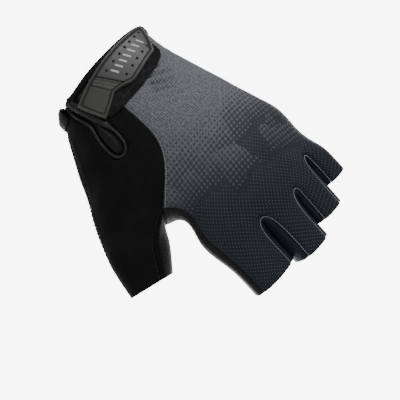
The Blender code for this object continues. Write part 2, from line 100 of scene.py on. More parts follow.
# Radius at the slit as a share of the half width, degrees from its outer lip to the next line, and how far
# its tip runs beyond its last row.
SLIT_RADIUS, SLIT_MARGIN, SLIT_TIP = 0.8, 8.0, 0.0028
# Angles of the back's edge on the little side, and of the last line before the outer side of the thumb.
LITTLE_SIDE, THUMB_SIDE = 26, 158
# Where the nine lines of the back cross a section, from the index side to the little side.
SPLITS = (0.0, 0.22, 0.43, 0.515, 0.607, 0.713, 0.818, 0.909, 1.0)
# How far each line runs, as a share of the palm length at the crotches.
REACH = (0.95, 0.965, 0.977, 1.00, 1.013, 0.98, 0.937, 0.92, 0.90)
# How high each line rises at the knuckles, in knuckle rises, and where they lie along the palm.
KNUCKLES = (0.0, 1.0, -0.5, 1.0, -0.5, 1.0, -0.5, 0.8, 0.0)
KNUCKLE_RISE, KNUCKLE_PLACE, KNUCKLE_SPREAD = 0.0014, 0.82, 0.18
# How strongly the web draws in each line of the back and the palm, and each line round the thumb base.
WEB_PULL = (1.0, 0.65, 0.3, 0.1, 0.0, 0.0, 0.0, 0.0, 0.0)
THUMB_PULL = (0.5, 0.15, 0.0, 0.0)
# Share of that pull which reaches the upper side.
UPPER_PULL = 0.3

# Fingers from index to little. length, width, depth in metres at the cut edge. aside: shift away from the
# thumb, in metres. yaw: degrees away from the thumb. pitch: degrees down at the crotch and at the cut edge.
# left, top, right: angles of the seams and of the middle line of the back.
FINGERS = [
    # length, width, depth, aside, yaw, first pitch, last pitch, left, top, right
    (0.0325, 0.0310, 0.0235, 0.0012, 0.0, 24.0, 30.0, 158, 96, 36),
    (0.0335, 0.0230, 0.0225, 0.0007, -1.5, 22.0, 30.0, 126, 88, 42),
    (0.0290, 0.0200, 0.0205, -0.0001, -1.5, 22.0, 30.0, 126, 88, 42),
    (0.0250, 0.0170, 0.0185, 0.0024, 0.0, 22.0, 30.0, 126, 82, 40),
]
FINGER_RINGS = 3

# Thumb, by ring: share of its length, width, depth, and the slope of the ring towards the palm.
THUMB_RINGS = [
    (0.28, 0.0405, 0.0320, 0.0),
    (0.55, 0.0368, 0.0300, -0.05),
    (0.80, 0.0325, 0.0275, -0.12),
    (1.00, 0.0285, 0.0250, -0.20),
]
THUMB_AIM = (-0.44, -0.82, -0.37)
THUMB_ROLL = 18.0
THUMB_ANGLES = (60, 84, 106, 132, 157, 180, -157, -130, -102, -75, -40, 0)
THUMB_SHEAR = 0.34
SECTION_POWER = 0.86
FINGER_POWER = 0.72
THUMB_POWER = 0.9
FINGER_FULLNESS = 0.0016
# Metres across the cloth: a quad wider than the first wraps round its finger, which takes the second.
WRAP_STEP, FINGER_ROUND = 0.03, 0.07

BACK, PALM, THUMB, GUSSET, FOURCHETTE, SLIT_GUSSET = 0, 1, 2, 3, 4, 7


def unit(v):
    return v / np.linalg.norm(v)


def boxy(degrees, power):
    """Cosine and sine of an angle, drawn out towards a rounded box by a power below 1."""
    angle = math.radians(degrees)
    return [math.copysign(abs(value) ** power, value) for value in (math.cos(angle), math.sin(angle))]


def section_sizes(row):
    """Side points, bulges, seam angle, lean and pinch of one section, in metres."""
    wrist, left, right, left_z, right_z, up, down, seam, lean, pinch = row[1:]
    half = (wrist * WRIST_WIDTH + (1 - wrist) * KNUCKLE_WIDTH) / 2
    deep = (wrist * WRIST_DEPTH + (1 - wrist) * KNUCKLE_DEPTH) / 2
    sides = (half * left, deep * left_z, half * right, deep * right_z)
    return sides, deep * up, deep * down, seam, lean * PALM_LENGTH, pinch


def on_section(row, degrees):
    """The point of a section at this angle: x, z, the z between its sides there, and the share downwards."""
    (x0, z0, x1, z1), up, down, _, _, _ = section_sizes(row)
    across, bulge = boxy(degrees, SECTION_POWER)
    x = (x0 + x1) / 2 + across * (x1 - x0) / 2
    chord = z0 + (z1 - z0) * (x - x0) / (x1 - x0)
    return x, chord + bulge * (up if bulge > 0 else down), chord, 0.5 - bulge / 2


def thumb_angles(row_index, seam):
    """Angles of the four lines between the back panel's edge and the outer side of the thumb."""
    if row_index > SLIT_ROWS:
        return [seam + (THUMB_SIDE - seam) * k / 4 for k in (1, 2, 3, 4)]
    middle, half = SLIT[row_index]
    sides = section_sizes(SECTIONS[row_index])[0]
    turn = math.degrees(half / (SLIT_RADIUS * (sides[2] - sides[0]) / 2))
    return [middle - turn, middle, middle + turn, middle + turn + SLIT_MARGIN]


class Cage:
    """Points by name, and quads with the number of their panel."""

    def __init__(self):
        self.points = []
        self.index = {}
        self.faces = []
        self.panels = []
        self.corners = []

    def add(self, key, point):
        self.index[key] = len(self.points)
        self.points.append(np.array(point, float))

    def at(self, key):
        return self.points[self.index[key]]

    def quad(self, keys, panel):
        self.faces.append([self.index[key] for key in keys])
        self.panels.append(panel)
        self.corners.append(keys)


def palm_row(cage, number):
    """One ring across the hand: D lines on the back, P on the palm, T and Q round the base of the thumb."""
    row = SECTIONS[number]
    at = row[0]
    _, _, _, seam, lean, pinch = section_sizes(row)
    late = max(0.0, (at - 0.5) / 0.5)

    def place(key, degrees, reach=1.0, shear=0.0, drawn=0.0, rise=0.0):
        x, z, chord, low = on_section(row, degrees)
        z = chord + (z - chord) * (1 - drawn) + rise
        y = -at * PALM_LENGTH * reach * (1 - shear * THUMB_SHEAR * at / SECTIONS[WEB_ROW][0]) + lean * low
        cage.add((key, number), (x, y, z))

    for j, split in enumerate(SPLITS):
        degrees = seam + (LITTLE_SIDE - seam) * split
        reach = 1 + (REACH[j] - 1) * late
        drawn = pinch * WEB_PULL[j]
        rise = KNUCKLE_RISE * KNUCKLES[j] * max(0.0, 1 - abs(at - KNUCKLE_PLACE) / KNUCKLE_SPREAD)
        place(f"D{j}", degrees, reach, drawn=drawn * UPPER_PULL if number <= WEB_ROW else 0.0, rise=rise)
        place(f"P{j}", -degrees, reach, drawn=drawn)
    place("R", 0, 1 + (REACH[8] - 1) * late)
    if number > WEB_ROW:
        place("M", 180, 1 + (REACH[0] - 1) * late)
        return
    if number == WEB_ROW:
        middle = (cage.at(("D0", number)) + cage.at(("P0", number))) / 2
        cage.add(("M", number), middle - np.array((0.0, WEB_DEPTH, 0.0)))
    for k, degrees in enumerate(thumb_angles(number, seam), 1):
        drawn = pinch * THUMB_PULL[k - 1]
        place(f"T{k}", degrees, 1.0, (degrees - seam) / (180 - seam), drawn * UPPER_PULL)
        mirrored = seam + (THUMB_SIDE - seam) * k / 4
        place(f"Q{k}", -mirrored, 1.0, (mirrored - seam) / (180 - seam), drawn)
    place("O", 180, 1.0, 1.0)
    if number == SLIT_ROWS:
        cage.at(("T2", number))[1] -= SLIT_TIP


def row_keys(number):
    keys = [f"D{j}" for j in range(9)] + ["R"] + [f"P{j}" for j in range(8, -1, -1)]
    if number <= WEB_ROW:
        keys += ["Q1", "Q2", "Q3", "Q4", "O", "T4", "T3", "T2", "T1"]
    else:
        keys += ["M"]
    return keys


def palm_panel_of(first, second, number):
    """The panel of the quad between two lines of the palm, after this row."""
    pair = {first, second}
    if pair <= {f"D{j}" for j in range(9)} | {"R"}:
        return BACK
    if number < SLIT_ROWS and pair in ({"T1", "T2"}, {"T2", "T3"}):
        return SLIT_GUSSET
    if pair <= {"D0", "T1", "T2", "T3", "T4", "O"} and pair != {"D0", "O"}:
        return THUMB
    return PALM


def build_palm(cage):
    for number in range(len(SECTIONS)):
        palm_row(cage, number)
    for number in range(len(SECTIONS) - 1):
        lines = row_keys(number) if number < WEB_ROW else row_keys(number + 1)
        for first, second in zip(lines, lines[1:] + lines[:1]):
            keys = [(first, number), (first, number + 1), (second, number + 1), (second, number)]
            cage.quad(keys, palm_panel_of(first, second, number))


def aim(yaw, pitch):
    yaw, pitch = math.radians(yaw), math.radians(pitch)
    return np.array((math.sin(yaw) * math.cos(pitch), -math.cos(yaw) * math.cos(pitch), -math.sin(pitch)))


def ring_points(centre, along, width, depth, angles, power, roll=0.0, slope=0.0):
    """The points of a ring round a direction. slope: how far its side away from the thumb runs ahead."""
    across = unit(np.cross((0, 0, 1), along))
    up = np.cross(along, across)
    turn = math.radians(roll)
    across, up = across * math.cos(turn) + up * math.sin(turn), up * math.cos(turn) - across * math.sin(turn)
    points = []
    for degrees in angles:
        c, s = boxy(degrees, power)
        a, b = c * width / 2, s * depth / 2
        points.append(centre + across * a + up * b + along * a * slope)
    return points


def finger_root(i):
    """The eight points where finger i starts, from its first line on the back round to the gap before it."""
    a, b, c = 2 * i, 2 * i + 1, 2 * i + 2
    before = "M" if i == 0 else f"C{a}"
    after = "R" if i == 3 else f"C{c}"
    names = (f"D{a}", f"D{b}", f"D{c}", after, f"P{c}", f"P{b}", f"P{a}", before)
    return [(name, len(SECTIONS) - 1) for name in names]


def finger_ring(i, step):
    return [(f"F{i}{letter}", step) for letter in "abcdefgh"]


def finger_panel(i, n):
    """The panel of quad n round finger i: 2 and 3 face the next finger, 6 and 7 the one before."""
    if n in (2, 3) and i < 3:
        return FOURCHETTE + i
    if n in (6, 7) and i > 0:
        return FOURCHETTE + i - 1
    return BACK if n < 3 else PALM


def build_fingers(cage):
    last = len(SECTIONS) - 1
    for j in (2, 4, 6):
        cage.add((f"C{j}", last), (cage.at((f"D{j}", last)) + cage.at((f"P{j}", last))) / 2)
    for i, finger in enumerate(FINGERS):
        length, width, depth, aside, yaw, first_pitch, last_pitch, left, top, right = finger
        angles = (left, top, right, 0, -35, -90, -145, 180)
        before = finger_root(i)
        centre = sum(cage.at(key) for key in before) / 8 + np.array((aside, 0.0, 0.0))
        for step in range(1, FINGER_RINGS + 1):
            share = step / FINGER_RINGS
            along = aim(yaw, first_pitch + (last_pitch - first_pitch) * share)
            centre = centre + along * length / FINGER_RINGS
            keys = finger_ring(i, step)
            for n, point in enumerate(ring_points(centre, along, width, depth, angles, FINGER_POWER)):
                swell = (n in (2, 3, 4) and i < 3) - (n in (0, 6, 7) and i > 0)
                swell *= FINGER_FULLNESS * (1.0 if n in (3, 7) else 0.45)
                cage.add(keys[n], point + np.array((swell, 0.0, 0.0)))
            for n in range(8):
                m = (n + 1) % 8
                cage.quad([before[n], keys[n], keys[m], before[m]], finger_panel(i, n))
            before = keys


def build_thumb(cage):
    names = ["D0", "T1", "T2", "T3", "T4", "O", "Q4", "Q3", "Q2", "Q1", "P0", "M"]
    before = [(name, WEB_ROW) for name in names]
    start = sum(cage.at(key) for key in before) / len(before)
    along = unit(np.array(THUMB_AIM))
    for step, (share, width, depth, slope) in enumerate(THUMB_RINGS, 1):
        centre = start + along * THUMB_LENGTH * share
        keys = [(f"U{name}", step) for name in names]
        ring = ring_points(centre, along, width, depth, THUMB_ANGLES, THUMB_POWER, THUMB_ROLL, slope)
        for key, point in zip(keys, ring):
            cage.add(key, point)
        for n in range(12):
            panel = THUMB if n < 5 else (PALM if n < 10 else GUSSET)
            m = (n + 1) % 12
            cage.quad([before[m], keys[m], keys[n], before[n]], panel)
        before = keys


def ring_distances(points, start):
    """How far round a ring each point lies from the one numbered start, and its first point the long way."""
    steps = [0.0] + [float(np.linalg.norm(b - a)) for a, b in zip(points, points[1:])]
    along = np.cumsum(steps)
    return along - along[start], float(along[-1] - along[start] + np.linalg.norm(points[0] - points[-1]))


def cloth_coordinates(cage):
    """For each corner of each quad, metres across the hand from the middle line and metres along it."""
    across = {}
    total = {}
    for number in range(len(SECTIONS)):
        names = row_keys(number)
        along, whole = ring_distances([cage.at((name, number)) for name in names], 4)
        for name, value in zip(names, along):
            across[(name, number)] = value
        total[number] = whole
    base = across[("P0", WEB_ROW)]
    middle = cage.at(("M", WEB_ROW))
    across[("M", WEB_ROW)] = base + np.linalg.norm(middle - cage.at(("P0", WEB_ROW)))
    total[WEB_ROW] = across[("M", WEB_ROW)] + np.linalg.norm(middle - cage.at(("D0", WEB_ROW)))
    rings = {}
    for i, finger in enumerate(FINGERS):
        root = finger_root(i)
        starts = [-cage.at(key)[1] for key in root]
        for step in range(FINGER_RINGS + 1):
            keys = finger_ring(i, step) if step else root
            along, _ = ring_distances([cage.at(key) for key in keys], 1)
            for n, key in enumerate(keys):
                rings[(i, key)] = (along[n] + across[root[1]], starts[n] + finger[0] * step / FINGER_RINGS)
    found = []
    for keys in cage.corners:
        names = [key[0] for key in keys]
        on_finger = [int(name[1]) for name in names if name[0] == "F"]
        if on_finger:
            values = [list(rings[(on_finger[0], key)]) for key in keys]
            low = min(v[0] for v in values) + WRAP_STEP
            if max(v[0] for v in values) > low:
                for value in values:
                    if value[0] < low:
                        value[0] += FINGER_ROUND
        elif any(name[0] == "U" for name in names):
            values = [(cage.at(key)[0], -cage.at(key)[1]) for key in keys]
        else:
            values = [[across[key], -cage.at(key)[1]] for key in keys]
            if "D0" in names and ("M" in names or "T1" in names):
                for value, key in zip(values, keys):
                    if key[0] == "D0":
                        value[0] = total[key[1]] + across[key]
        found.append(values)
    return found


class Surface:
    """The fine skin of the glove: points, normals, quads, the panel of each quad, and its mesh."""


# The lower lip of the slit: degrees that it is bent, and where along the hand and how widely.
LIP_BEND, LIP_BEND_Y, LIP_BEND_WIDTH = -3.6, -0.0215, 0.0060
# The tip of the slit is drawn out by this share, and the cloth follows within this distance of the slit.
TIP_STRETCH, SLIT_FOLLOW = 0.07, 0.0075
# Rounds of smoothing for the slit's outline, and of relaxing for the cloth beside it.
SLIT_SMOOTHING, SLIT_RELAXING = 34, 30


def slit_path(skin):
    """The points along the slit, from one lip at the cuff round its tip to the other."""
    return all_runs([edge for edge, other in border_edges(skin, THUMB).items() if other == SLIT_GUSSET])[0]


def round_slit(skin):
    """Rounds the outline of the slit, and lets the skin near it follow."""
    path = slit_path(skin)
    tree = BVHTree.FromPolygons([tuple(p) for p in skin.points], skin.faces)
    line = smoothed(skin.points[path], SLIT_SMOOTHING)
    first_is_upper = line[0][2] > line[-1][2]
    for n in range(1, len(line) - 1):
        share = n / (len(line) - 1)
        lower = soft_step(share if first_is_upper else 1 - share, 0.5, 0.58)
        x, y, z = line[n]
        angle = math.degrees(math.atan2(z / WRIST_DEPTH, x / WRIST_WIDTH))
        bend = LIP_BEND * bell(y, LIP_BEND_Y, LIP_BEND_WIDTH) * lower
        reach = y * (1 + TIP_STRETCH * soft_step(-y, 0.030, 0.045))
        line[n] = surface_at(tree, angle + bend, reach)[0]
    line = smoothed(line, 4)
    skin.points[path] = line
    fixed = set(path)
    for (a, b), panel in skin.owner.items():
        if skin.owner.get((b, a)) != panel:
            fixed.update((a, b))
    near = distances(skin.points, line)
    moving = sorted(v for v in np.nonzero(near < SLIT_FOLLOW)[0] if v not in fixed)
    around = {v: set() for v in moving}
    for a, b in skin.owner:
        if a in around:
            around[a].add(b)
        if b in around:
            around[b].add(a)
    around = {v: list(others) for v, others in around.items()}
    for _ in range(SLIT_RELAXING):
        fresh = [skin.points[others].mean(axis=0) for others in around.values()]
        for v, point in zip(around, fresh):
            skin.points[v] = point
    for v in moving:
        skin.points[v] = np.array(tree.find_nearest(skin.points[v])[0])


@functools.lru_cache(maxsize=1)
def fine_surface():
    """The cage rounded by subdivision, with its slit, made once for all pieces."""
    cage = Cage()
    build_palm(cage)
    build_fingers(cage)
    build_thumb(cage)
    mesh = bpy.data.meshes.new("cage")
    mesh.from_pydata([tuple(p) for p in cage.points], [], cage.faces)
    layer = mesh.uv_layers.new(name="cloth")
    for polygon, panel, values in zip(mesh.polygons, cage.panels, cloth_coordinates(cage)):
        polygon.material_index = panel
        for loop, value in zip(polygon.loop_indices, values):
            layer.data[loop].uv = value
    for _ in range(SLIT_GUSSET + 1):
        mesh.materials.append(None)
    obj = placed("cage", mesh)
    subsurf = obj.modifiers.new("round", "SUBSURF")
    subsurf.levels = subsurf.render_levels = FINE_LEVELS
    graph = bpy.context.evaluated_depsgraph_get()
    done = bpy.data.meshes.new_from_object(obj.evaluated_get(graph))
    bpy.data.objects.remove(obj)
    skin = Surface()
    skin.mesh = done
    skin.points = np.array([v.co[:] for v in done.vertices])
    skin.normals = np.array([v.normal[:] for v in done.vertices])
    skin.faces = [list(p.vertices) for p in done.polygons]
    skin.panels = [p.material_index for p in done.polygons]
    skin.owner = {}
    for face, number in zip(skin.faces, skin.panels):
        for a, b in zip(face, face[1:] + face[:1]):
            skin.owner[(a, b)] = number
    round_slit(skin)
    skin.tree = BVHTree.FromPolygons([tuple(p) for p in skin.points], skin.faces)
    return skin


def border_edges(skin, panel):
    """Edges of a panel's border, each with the panel on its other side, or None where the cloth ends."""
    owner = skin.owner
    return {
        (a, b): owner.get((b, a))
        for (a, b), number in owner.items()
        if number == panel and owner.get((b, a)) != panel
    }


# Insets of a panel's edge: under the cuff tape, of the slit's fold at the cuff, and of the thumb at the slit.
CUFF_INSET, FOLD_INSET, LIP_INSET = 0.0014, -0.0006, 0.0007


def border_inset(panel, other, point):
    """How far a panel's edge lies inside its border, at this point."""
    if other is None and panel == SLIT_GUSSET:
        return FOLD_INSET
    if other is None:
        return CUFF_INSET if point[1] > WRIST_EDGE_Y else 0.0
    if {panel, other} == {THUMB, SLIT_GUSSET}:
        return LIP_INSET if panel == THUMB else 0.0
    return SEAM_GAP / 4


def border_shifts(skin, border, panel):
    """For each border point, the move within the surface that gives both its edges their inset."""
    edges_at = {}
    for (a, b), other in border.items():
        middle = (skin.points[a] + skin.points[b]) / 2
        inward = np.cross(skin.normals[a] + skin.normals[b], skin.points[b] - skin.points[a])
        for v in (a, b):
            edges_at.setdefault(v, []).append((unit(inward), border_inset(panel, other, middle)))
    shifts = {}
    for v, found in edges_at.items():
        (q1, d1), (q2, d2) = found[0], found[-1]
        c = min(0.999, max(-0.6, float(q1 @ q2)))
        if c > 0.985:
            shifts[v] = unit(q1 + q2) * (d1 + d2) / 2
        else:
            shifts[v] = (q1 * (d1 - c * d2) + q2 * (d2 - c * d1)) / (1 - c * c)
    return shifts


def distances(points, to_points):
    """From each point to the nearest of the others."""
    tree = kdtree.KDTree(len(to_points))
    for n, p in enumerate(to_points):
        tree.insert(p, n)
    tree.balance()
    return np.array([tree.find(p)[2] for p in points])


def bell(value, middle, width):
    return np.exp(-((value - middle) / width) ** 2)


def wave_noise(points, scale, seed):
    offset = Vector((seed * 7.3, seed * 3.1, seed * 5.7))
    return np.array([noise.noise(Vector(p) * scale + offset) for p in points])


# The gathers of the back beside the tab: their middle, the direction along the folds and the one across them.
GATHER_PLACE = (0.009, -0.036, 0.024)
GATHER_ALONG = (0.879, -0.446, 0.172)
GATHER_ACROSS = (0.362, 0.856, 0.369)
GATHER_PITCH = 0.0050
GATHER_RISE = 0.0017
# How far the cloth dips at a seam, and swells beside it.
SEAM_DIP, SEAM_SWELL = 0.00075, 0.00022
# Soft unevenness of each panel: its height, how many waves to a metre, and its pattern.
UNEVEN = {BACK: (0.00022, 70, 1), PALM: (0.0005, 45, 3), THUMB: (0.00035, 50, 4)}
UNEVEN_STRIP = (0.00015, 90, 5)


def cloth_relief(panel, points, seam):
    """How far the cloth stands out from the fine surface, by its distance from the nearest seam."""
    height, scale, seed = UNEVEN.get(panel, UNEVEN_STRIP)
    rise = SEAM_SWELL * bell(seam, 0.0032, 0.0016) - SEAM_DIP * bell(seam, 0.0, 0.0011)
    rise += height * wave_noise(points, scale, seed) * np.clip((seam - 0.002) / 0.006, 0, 1)
    if panel == BACK:
        across = (points - np.array(GATHER_PLACE)) @ np.array(GATHER_ACROSS)
        along = (points - np.array(GATHER_PLACE)) @ np.array(GATHER_ALONG)
        wobble = 0.0010 * wave_noise(points, 90, 2)
        folds = np.sin(2 * math.pi * (across + 0.12 * along + wobble) / GATHER_PITCH)
        reach = soft_step(along, -0.012, -0.005) * (1 - soft_step(along, 0.001, 0.016))
        rise += GATHER_RISE * (folds - 0.8) * bell(across, 0.0, 0.0125) * reach * (points[:, 2] > 0)
    return rise


def placed(name, data):
    """A new object in the scene."""
    obj = bpy.data.objects.new(name, data)
    bpy.context.scene.collection.objects.link(obj)
    return obj


def link(name, mesh, look):
    """A finished object with this mesh and material, riding on the glove."""
    mesh.materials.clear()
    mesh.materials.append(look)
    for polygon in mesh.polygons:
        polygon.use_smooth = True
        polygon.material_index = 0
    obj = placed(name, mesh)
    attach(obj, "root")
    return obj


# Near the wrist opening every panel thins or thickens to the hem's wall, over the hem's length.
HEM_WALL, HEM_LENGTH = 0.0012, 0.012
# The fold in the slit: its height, and how far its edges lie below the lips.
FOLD_HEIGHT, FOLD_SINK = 0.0040, 0.0018


def cloth_panel(name, panel, wall, look, node):
    """Cuts a panel out of the fine surface, gives it relief and a wall, and puts it in place of its node."""
    skin = fine_surface()
    border = border_edges(skin, panel)
    shifts = border_shifts(skin, border, panel)
    seam_points = sorted({v for edge, other in border.items() if other is not None for v in edge})
    made = bmesh.new()
    made.from_mesh(skin.mesh)
    source = made.verts.layers.int.new("source")
    for v in made.verts:
        v[source] = v.index
    bmesh.ops.delete(made, geom=[f for f in made.faces if f.material_index != panel], context="FACES")
    numbers = [v[source] for v in made.verts]
    seam = distances(skin.points[numbers], skin.points[seam_points])
    rise = dict(zip(numbers, cloth_relief(panel, skin.points[numbers], seam)))
    fold = dict(zip(numbers, FOLD_HEIGHT * soft_step(seam, 0.0006, 0.0042)))
    inner = set(made.verts)
    bmesh.ops.extrude_face_region(made, geom=made.faces[:], use_keep_orig=True)
    for v in made.verts:
        n = v[source]
        hem = max(0.0, min(1.0, 1 + skin.points[n][1] / HEM_LENGTH))
        lift = rise[n] * (1 - hem)
        if panel == SLIT_GUSSET:
            lift = rise[n] + (fold[n] - FOLD_SINK) * (1 - hem) - 0.0003
        if v in inner:
            lift -= HEM_WALL * hem + wall * (1 - hem)
        v.co = skin.points[n] + shifts.get(n, 0.0) + skin.normals[n] * lift
    obj = finished(made, name, look)
    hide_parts(node)
    return obj


class Looks:
    """Builds the nodes of one material."""

    def __init__(self, name, roughness, shine=0.1):
        self.material = bpy.data.materials.new(name)
        self.material.use_nodes = True
        self.tree = self.material.node_tree
        self.place = self.tree.nodes.new("ShaderNodeTexCoord")
        self.shade({"Roughness": roughness, "Specular IOR Level": shine})

    def feed(self, node, inputs):
        """Gives inputs of a node, by name or number, a value or the output of another node."""
        for key, value in inputs.items():
            socket = node.inputs[key]
            if isinstance(value, bpy.types.NodeSocket):
                self.tree.links.new(value, socket)
            elif socket.type == "RGBA":
                socket.default_value = (*value[:3], 1.0)
            else:
                socket.default_value = value

    def node(self, kind, inputs, output=0, **settings):
        made = self.tree.nodes.new(kind)
        for key, value in settings.items():
            setattr(made, key, value)
        self.feed(made, inputs)
        return made.outputs[output]

    def math(self, operation, *values):
        return self.node("ShaderNodeMath", dict(enumerate(values)), operation=operation)

    def times(self, a, b):
        return self.math("MULTIPLY", a, b)

    def plus(self, a, b):
        return self.math("ADD", a, b)

    def line(self, value, slope, start):
        return self.math("MULTIPLY_ADD", value, slope, start)

    def blend(self, share, a, b):
        return self.node("ShaderNodeMix", {0: share, 6: a, 7: b}, 2, data_type="RGBA")

    def mapped(self, vector, size, turn):
        return self.node("ShaderNodeMapping", {"Vector": vector, "Scale": size, "Rotation": turn})

    def noise(self, vector, scale, detail=3.0, rough=0.55):
        inputs = {"Vector": vector, "Scale": scale, "Detail": detail, "Roughness": rough}
        return self.node("ShaderNodeTexNoise", inputs, "Fac")

    def cells(self, vector, scale, output="Distance", distance="EUCLIDEAN", random=1.0):
        inputs = {"Vector": vector, "Scale": scale, "Randomness": random}
        return self.node("ShaderNodeTexVoronoi", inputs, output, distance=distance)

    def step(self, value, low, high, to_low=0.0, to_high=1.0):
        inputs = dict(enumerate((value, low, high, to_low, to_high)))
        return self.node("ShaderNodeMapRange", inputs, interpolation_type="SMOOTHSTEP")

    def parts(self, vector):
        return self.node("ShaderNodeSeparateXYZ", {0: vector}).node.outputs[:]

    def shade(self, inputs):
        self.feed(self.tree.nodes["Principled BSDF"], inputs)

    def bump(self, height, distance, strength):
        inputs = {"Height": height, "Distance": distance, "Strength": strength}
        self.shade({"Normal": self.node("ShaderNodeBump", inputs)})

    def colour(self, value):
        self.shade({"Base Color": value})

    def sheen(self, weight, tint):
        self.shade({"Sheen Weight": weight, "Sheen Tint": tint, "Sheen Roughness": 0.5})


# The fade of the knit: how fast it darkens along the hand and across it, how far each angular field may shift
# it, and where it starts. All are in shares of the whole fade, the first two for each metre of cloth.
FADE_ALONG, FADE_ACROSS, FADE_FIELD, FADE_START = 12.8, -1.6, 0.32, -0.800


def knit_look(colours, sizes):
    """Knit of small raised dots: grey at the wrist, ever larger dark holes, navy black at the fingers; painted
    shade on the thumb side, painted highlights on the tops of the dots.
    """
    look = Looks("knit_look", 0.8)
    cloth = look.place.outputs["UV"]
    u, v, _ = look.parts(cloth)
    turns = 2 * math.pi / sizes.knit_pitch
    a = look.math("SINE", look.times(u, turns))
    b = look.math("SINE", look.times(v, turns))
    fine = look.line(look.times(a, b), 0.5, 0.5)
    coarse = look.line(look.math("SUBTRACT", b, a), 0.25, 0.5)
    fields = look.cells(look.mapped(cloth, (1.0, 0.62, 1.0), (0, 0, 0.5)), 42.0, "Color", "MANHATTAN")
    fade = look.plus(look.times(v, FADE_ALONG), look.times(u, FADE_ACROSS))
    fade = look.plus(fade, look.line(look.parts(fields)[0], FADE_FIELD, FADE_START))
    fade = look.plus(fade, look.line(look.noise(cloth, 60.0), 0.25, -0.125))
    fade = look.step(fade, 0.0, 1.0)
    lattice = look.line(look.math("SUBTRACT", fine, coarse), look.step(fade, 0.70, 0.80), coarse)
    dark = look.step(look.math("SUBTRACT", look.line(fade, 1.3, -0.15), lattice), -0.16, 0.16)
    # Painted shade: on the thumb side the raised knit is drawn up to 0.32 further towards dusk, beside the
    # real fade along the hand.
    dusk = look.plus(look.step(v, 0.045, 0.145), look.step(u, -0.050, -0.005, 0.32, 0.0))
    light = look.blend(look.math("MINIMUM", dusk, 1.0), colours.knit_grey, colours.knit_dusk)
    deep = look.blend(look.step(v, 0.07, 0.13), colours.knit_charcoal, colours.knit_navy)
    base = look.blend(look.times(dark, look.line(fade, 0.36, 0.55)), light, deep)
    grain = look.noise(cloth, 2400.0, 2.0, 0.65)
    small = look.cells(cloth, 780.0, random=0.35)
    base = look.blend(look.times(look.step(small, 0.28, 0.60), look.line(fade, -0.25, 0.62)), base, deep)
    # Painted highlight: the tops of the raised dots are lightened towards this colour, more strongly towards
    # the fingers.
    dots = look.times(look.step(lattice, 0.80, 0.97), look.step(fade, 0.35, 0.95))
    base = look.blend(look.times(dots, 0.75), base, colours.knit_dot_highlight)
    look.colour(look.blend(look.times(grain, 0.25), base, deep))
    look.bump(look.plus(look.times(lattice, 0.8), look.times(grain, 0.5)), 0.0003, 0.9)
    look.sheen(0.04, (0.4, 0.42, 0.45))
    return look.material


# Plain cloths, by the name of their slot.
CLOTHS = {
    # colour, roughness, waves of grain to a metre, depth of grain, sheen, mottling, shine
    "satin_cloth": ("finger_navy", 0.55, 1500.0, 0.00008, 0.05, 0.35, 0.1),
    "suede_cloth": ("thumb_black", 0.9, 1300.0, 0.00018, 0.024, 0.5, 0.03),
    "smooth_cloth": ("strip_black", 0.6, 1700.0, 0.00008, 0.04, 0.4, 0.035),
    "stretch_cloth": ("slit_black", 0.55, 1600.0, 0.00008, 0.04, 0.4, 0.1),
    "binding_tape": ("tape_black", 0.75, 2000.0, 0.00012, 0.04, 0.5, 0.1),
    "welt_cloth": ("welt_black", 0.5, 1800.0, 0.00008, 0.05, 0.5, 0.25),
    "pile": ("pile_black", 0.95, 2200.0, 0.0003, 0.07, 0.7, 0.1),
}


def cloth_look(slot, colours):
    """Plain cloth: a colour with soft mottling, and a grain in its bump."""
    tone_name, roughness, grain_scale, grain_depth, sheen, mottle, shine = CLOTHS[slot]
    colour = getattr(colours, tone_name)
    look = Looks(f"{slot}_look", roughness, shine)
    place = look.place.outputs["Object"]
    soft = look.noise(place, 90.0, 4.0)
    fine = look.noise(place, grain_scale, 3.0, 0.7)
    lighter = tuple(min(1.0, c * 2.1 + 0.003) for c in colour)
    look.colour(look.blend(look.line(soft, mottle, look.line(fine, mottle, -mottle * 0.7)), colour, lighter))
    look.bump(look.plus(look.times(soft, 0.3), fine), grain_depth, 0.8)
    look.sheen(sheen, (0.3, 0.3, 0.31))
    return look.material


def leather_look(colours):
    """Palm leather: dark, with a fine pebbled grain."""
    look = Looks("palm_leather_look", 0.62)
    place = look.place.outputs["Object"]
    grain = look.cells(place, 1100.0)
    soft = look.noise(place, 120.0, 4.0)
    look.colour(look.blend(look.times(soft, 0.6), colours.palm_black, (0.03, 0.03, 0.032)))
    look.bump(look.plus(look.times(grain, -0.7), look.times(soft, 0.6)), 0.00022, 0.8)
    look.sheen(0.02, (0.3, 0.3, 0.3))
    return look.material


def rubber_look(colours):
    """Moulded rubber: a grey plate, duller towards the neck, then olive, with painted shade towards black in
    grooves and dimples.
    """
    look = Looks("tab_rubber_look", 0.45, 0.3)
    u, v, _ = look.parts(look.place.outputs["UV"])
    place = look.place.outputs["Object"]
    plate_end = PLATE_END / TURN_UNIT
    plate = look.step(u, plate_end - 0.003, plate_end + 0.003, 1.0, 0.0)
    base = look.blend(plate, colours.tab_olive, colours.tab_grey)
    base = look.blend(look.step(u, 0.65, plate_end, 0.0, 0.45), base, (0.020, 0.020, 0.019))
    base = look.blend(look.times(look.noise(place, 140.0, 4.0), 0.35), base, (0.030, 0.030, 0.031))
    # Painted shade: the second coordinate darkens the grooves, the neck and the dimples towards black.
    look.colour(look.blend(look.times(v, 0.95), base, (0.004, 0.004, 0.0045)))
    look.bump(look.noise(place, 2600.0, 2.0), 0.00006, 0.7)
    return look.material


def stitch_look(name, colour):
    """Thread, and the print of the bars: a colour with a fine grain."""
    look = Looks(name, 0.6)
    fine = look.noise(look.place.outputs["Object"], 3000.0, 2.0)
    look.colour(look.blend(fine, tuple(c * 0.6 for c in colour), tuple(min(1.0, c * 1.35) for c in colour)))
    look.bump(fine, 0.0001, 0.6)
    return look.material


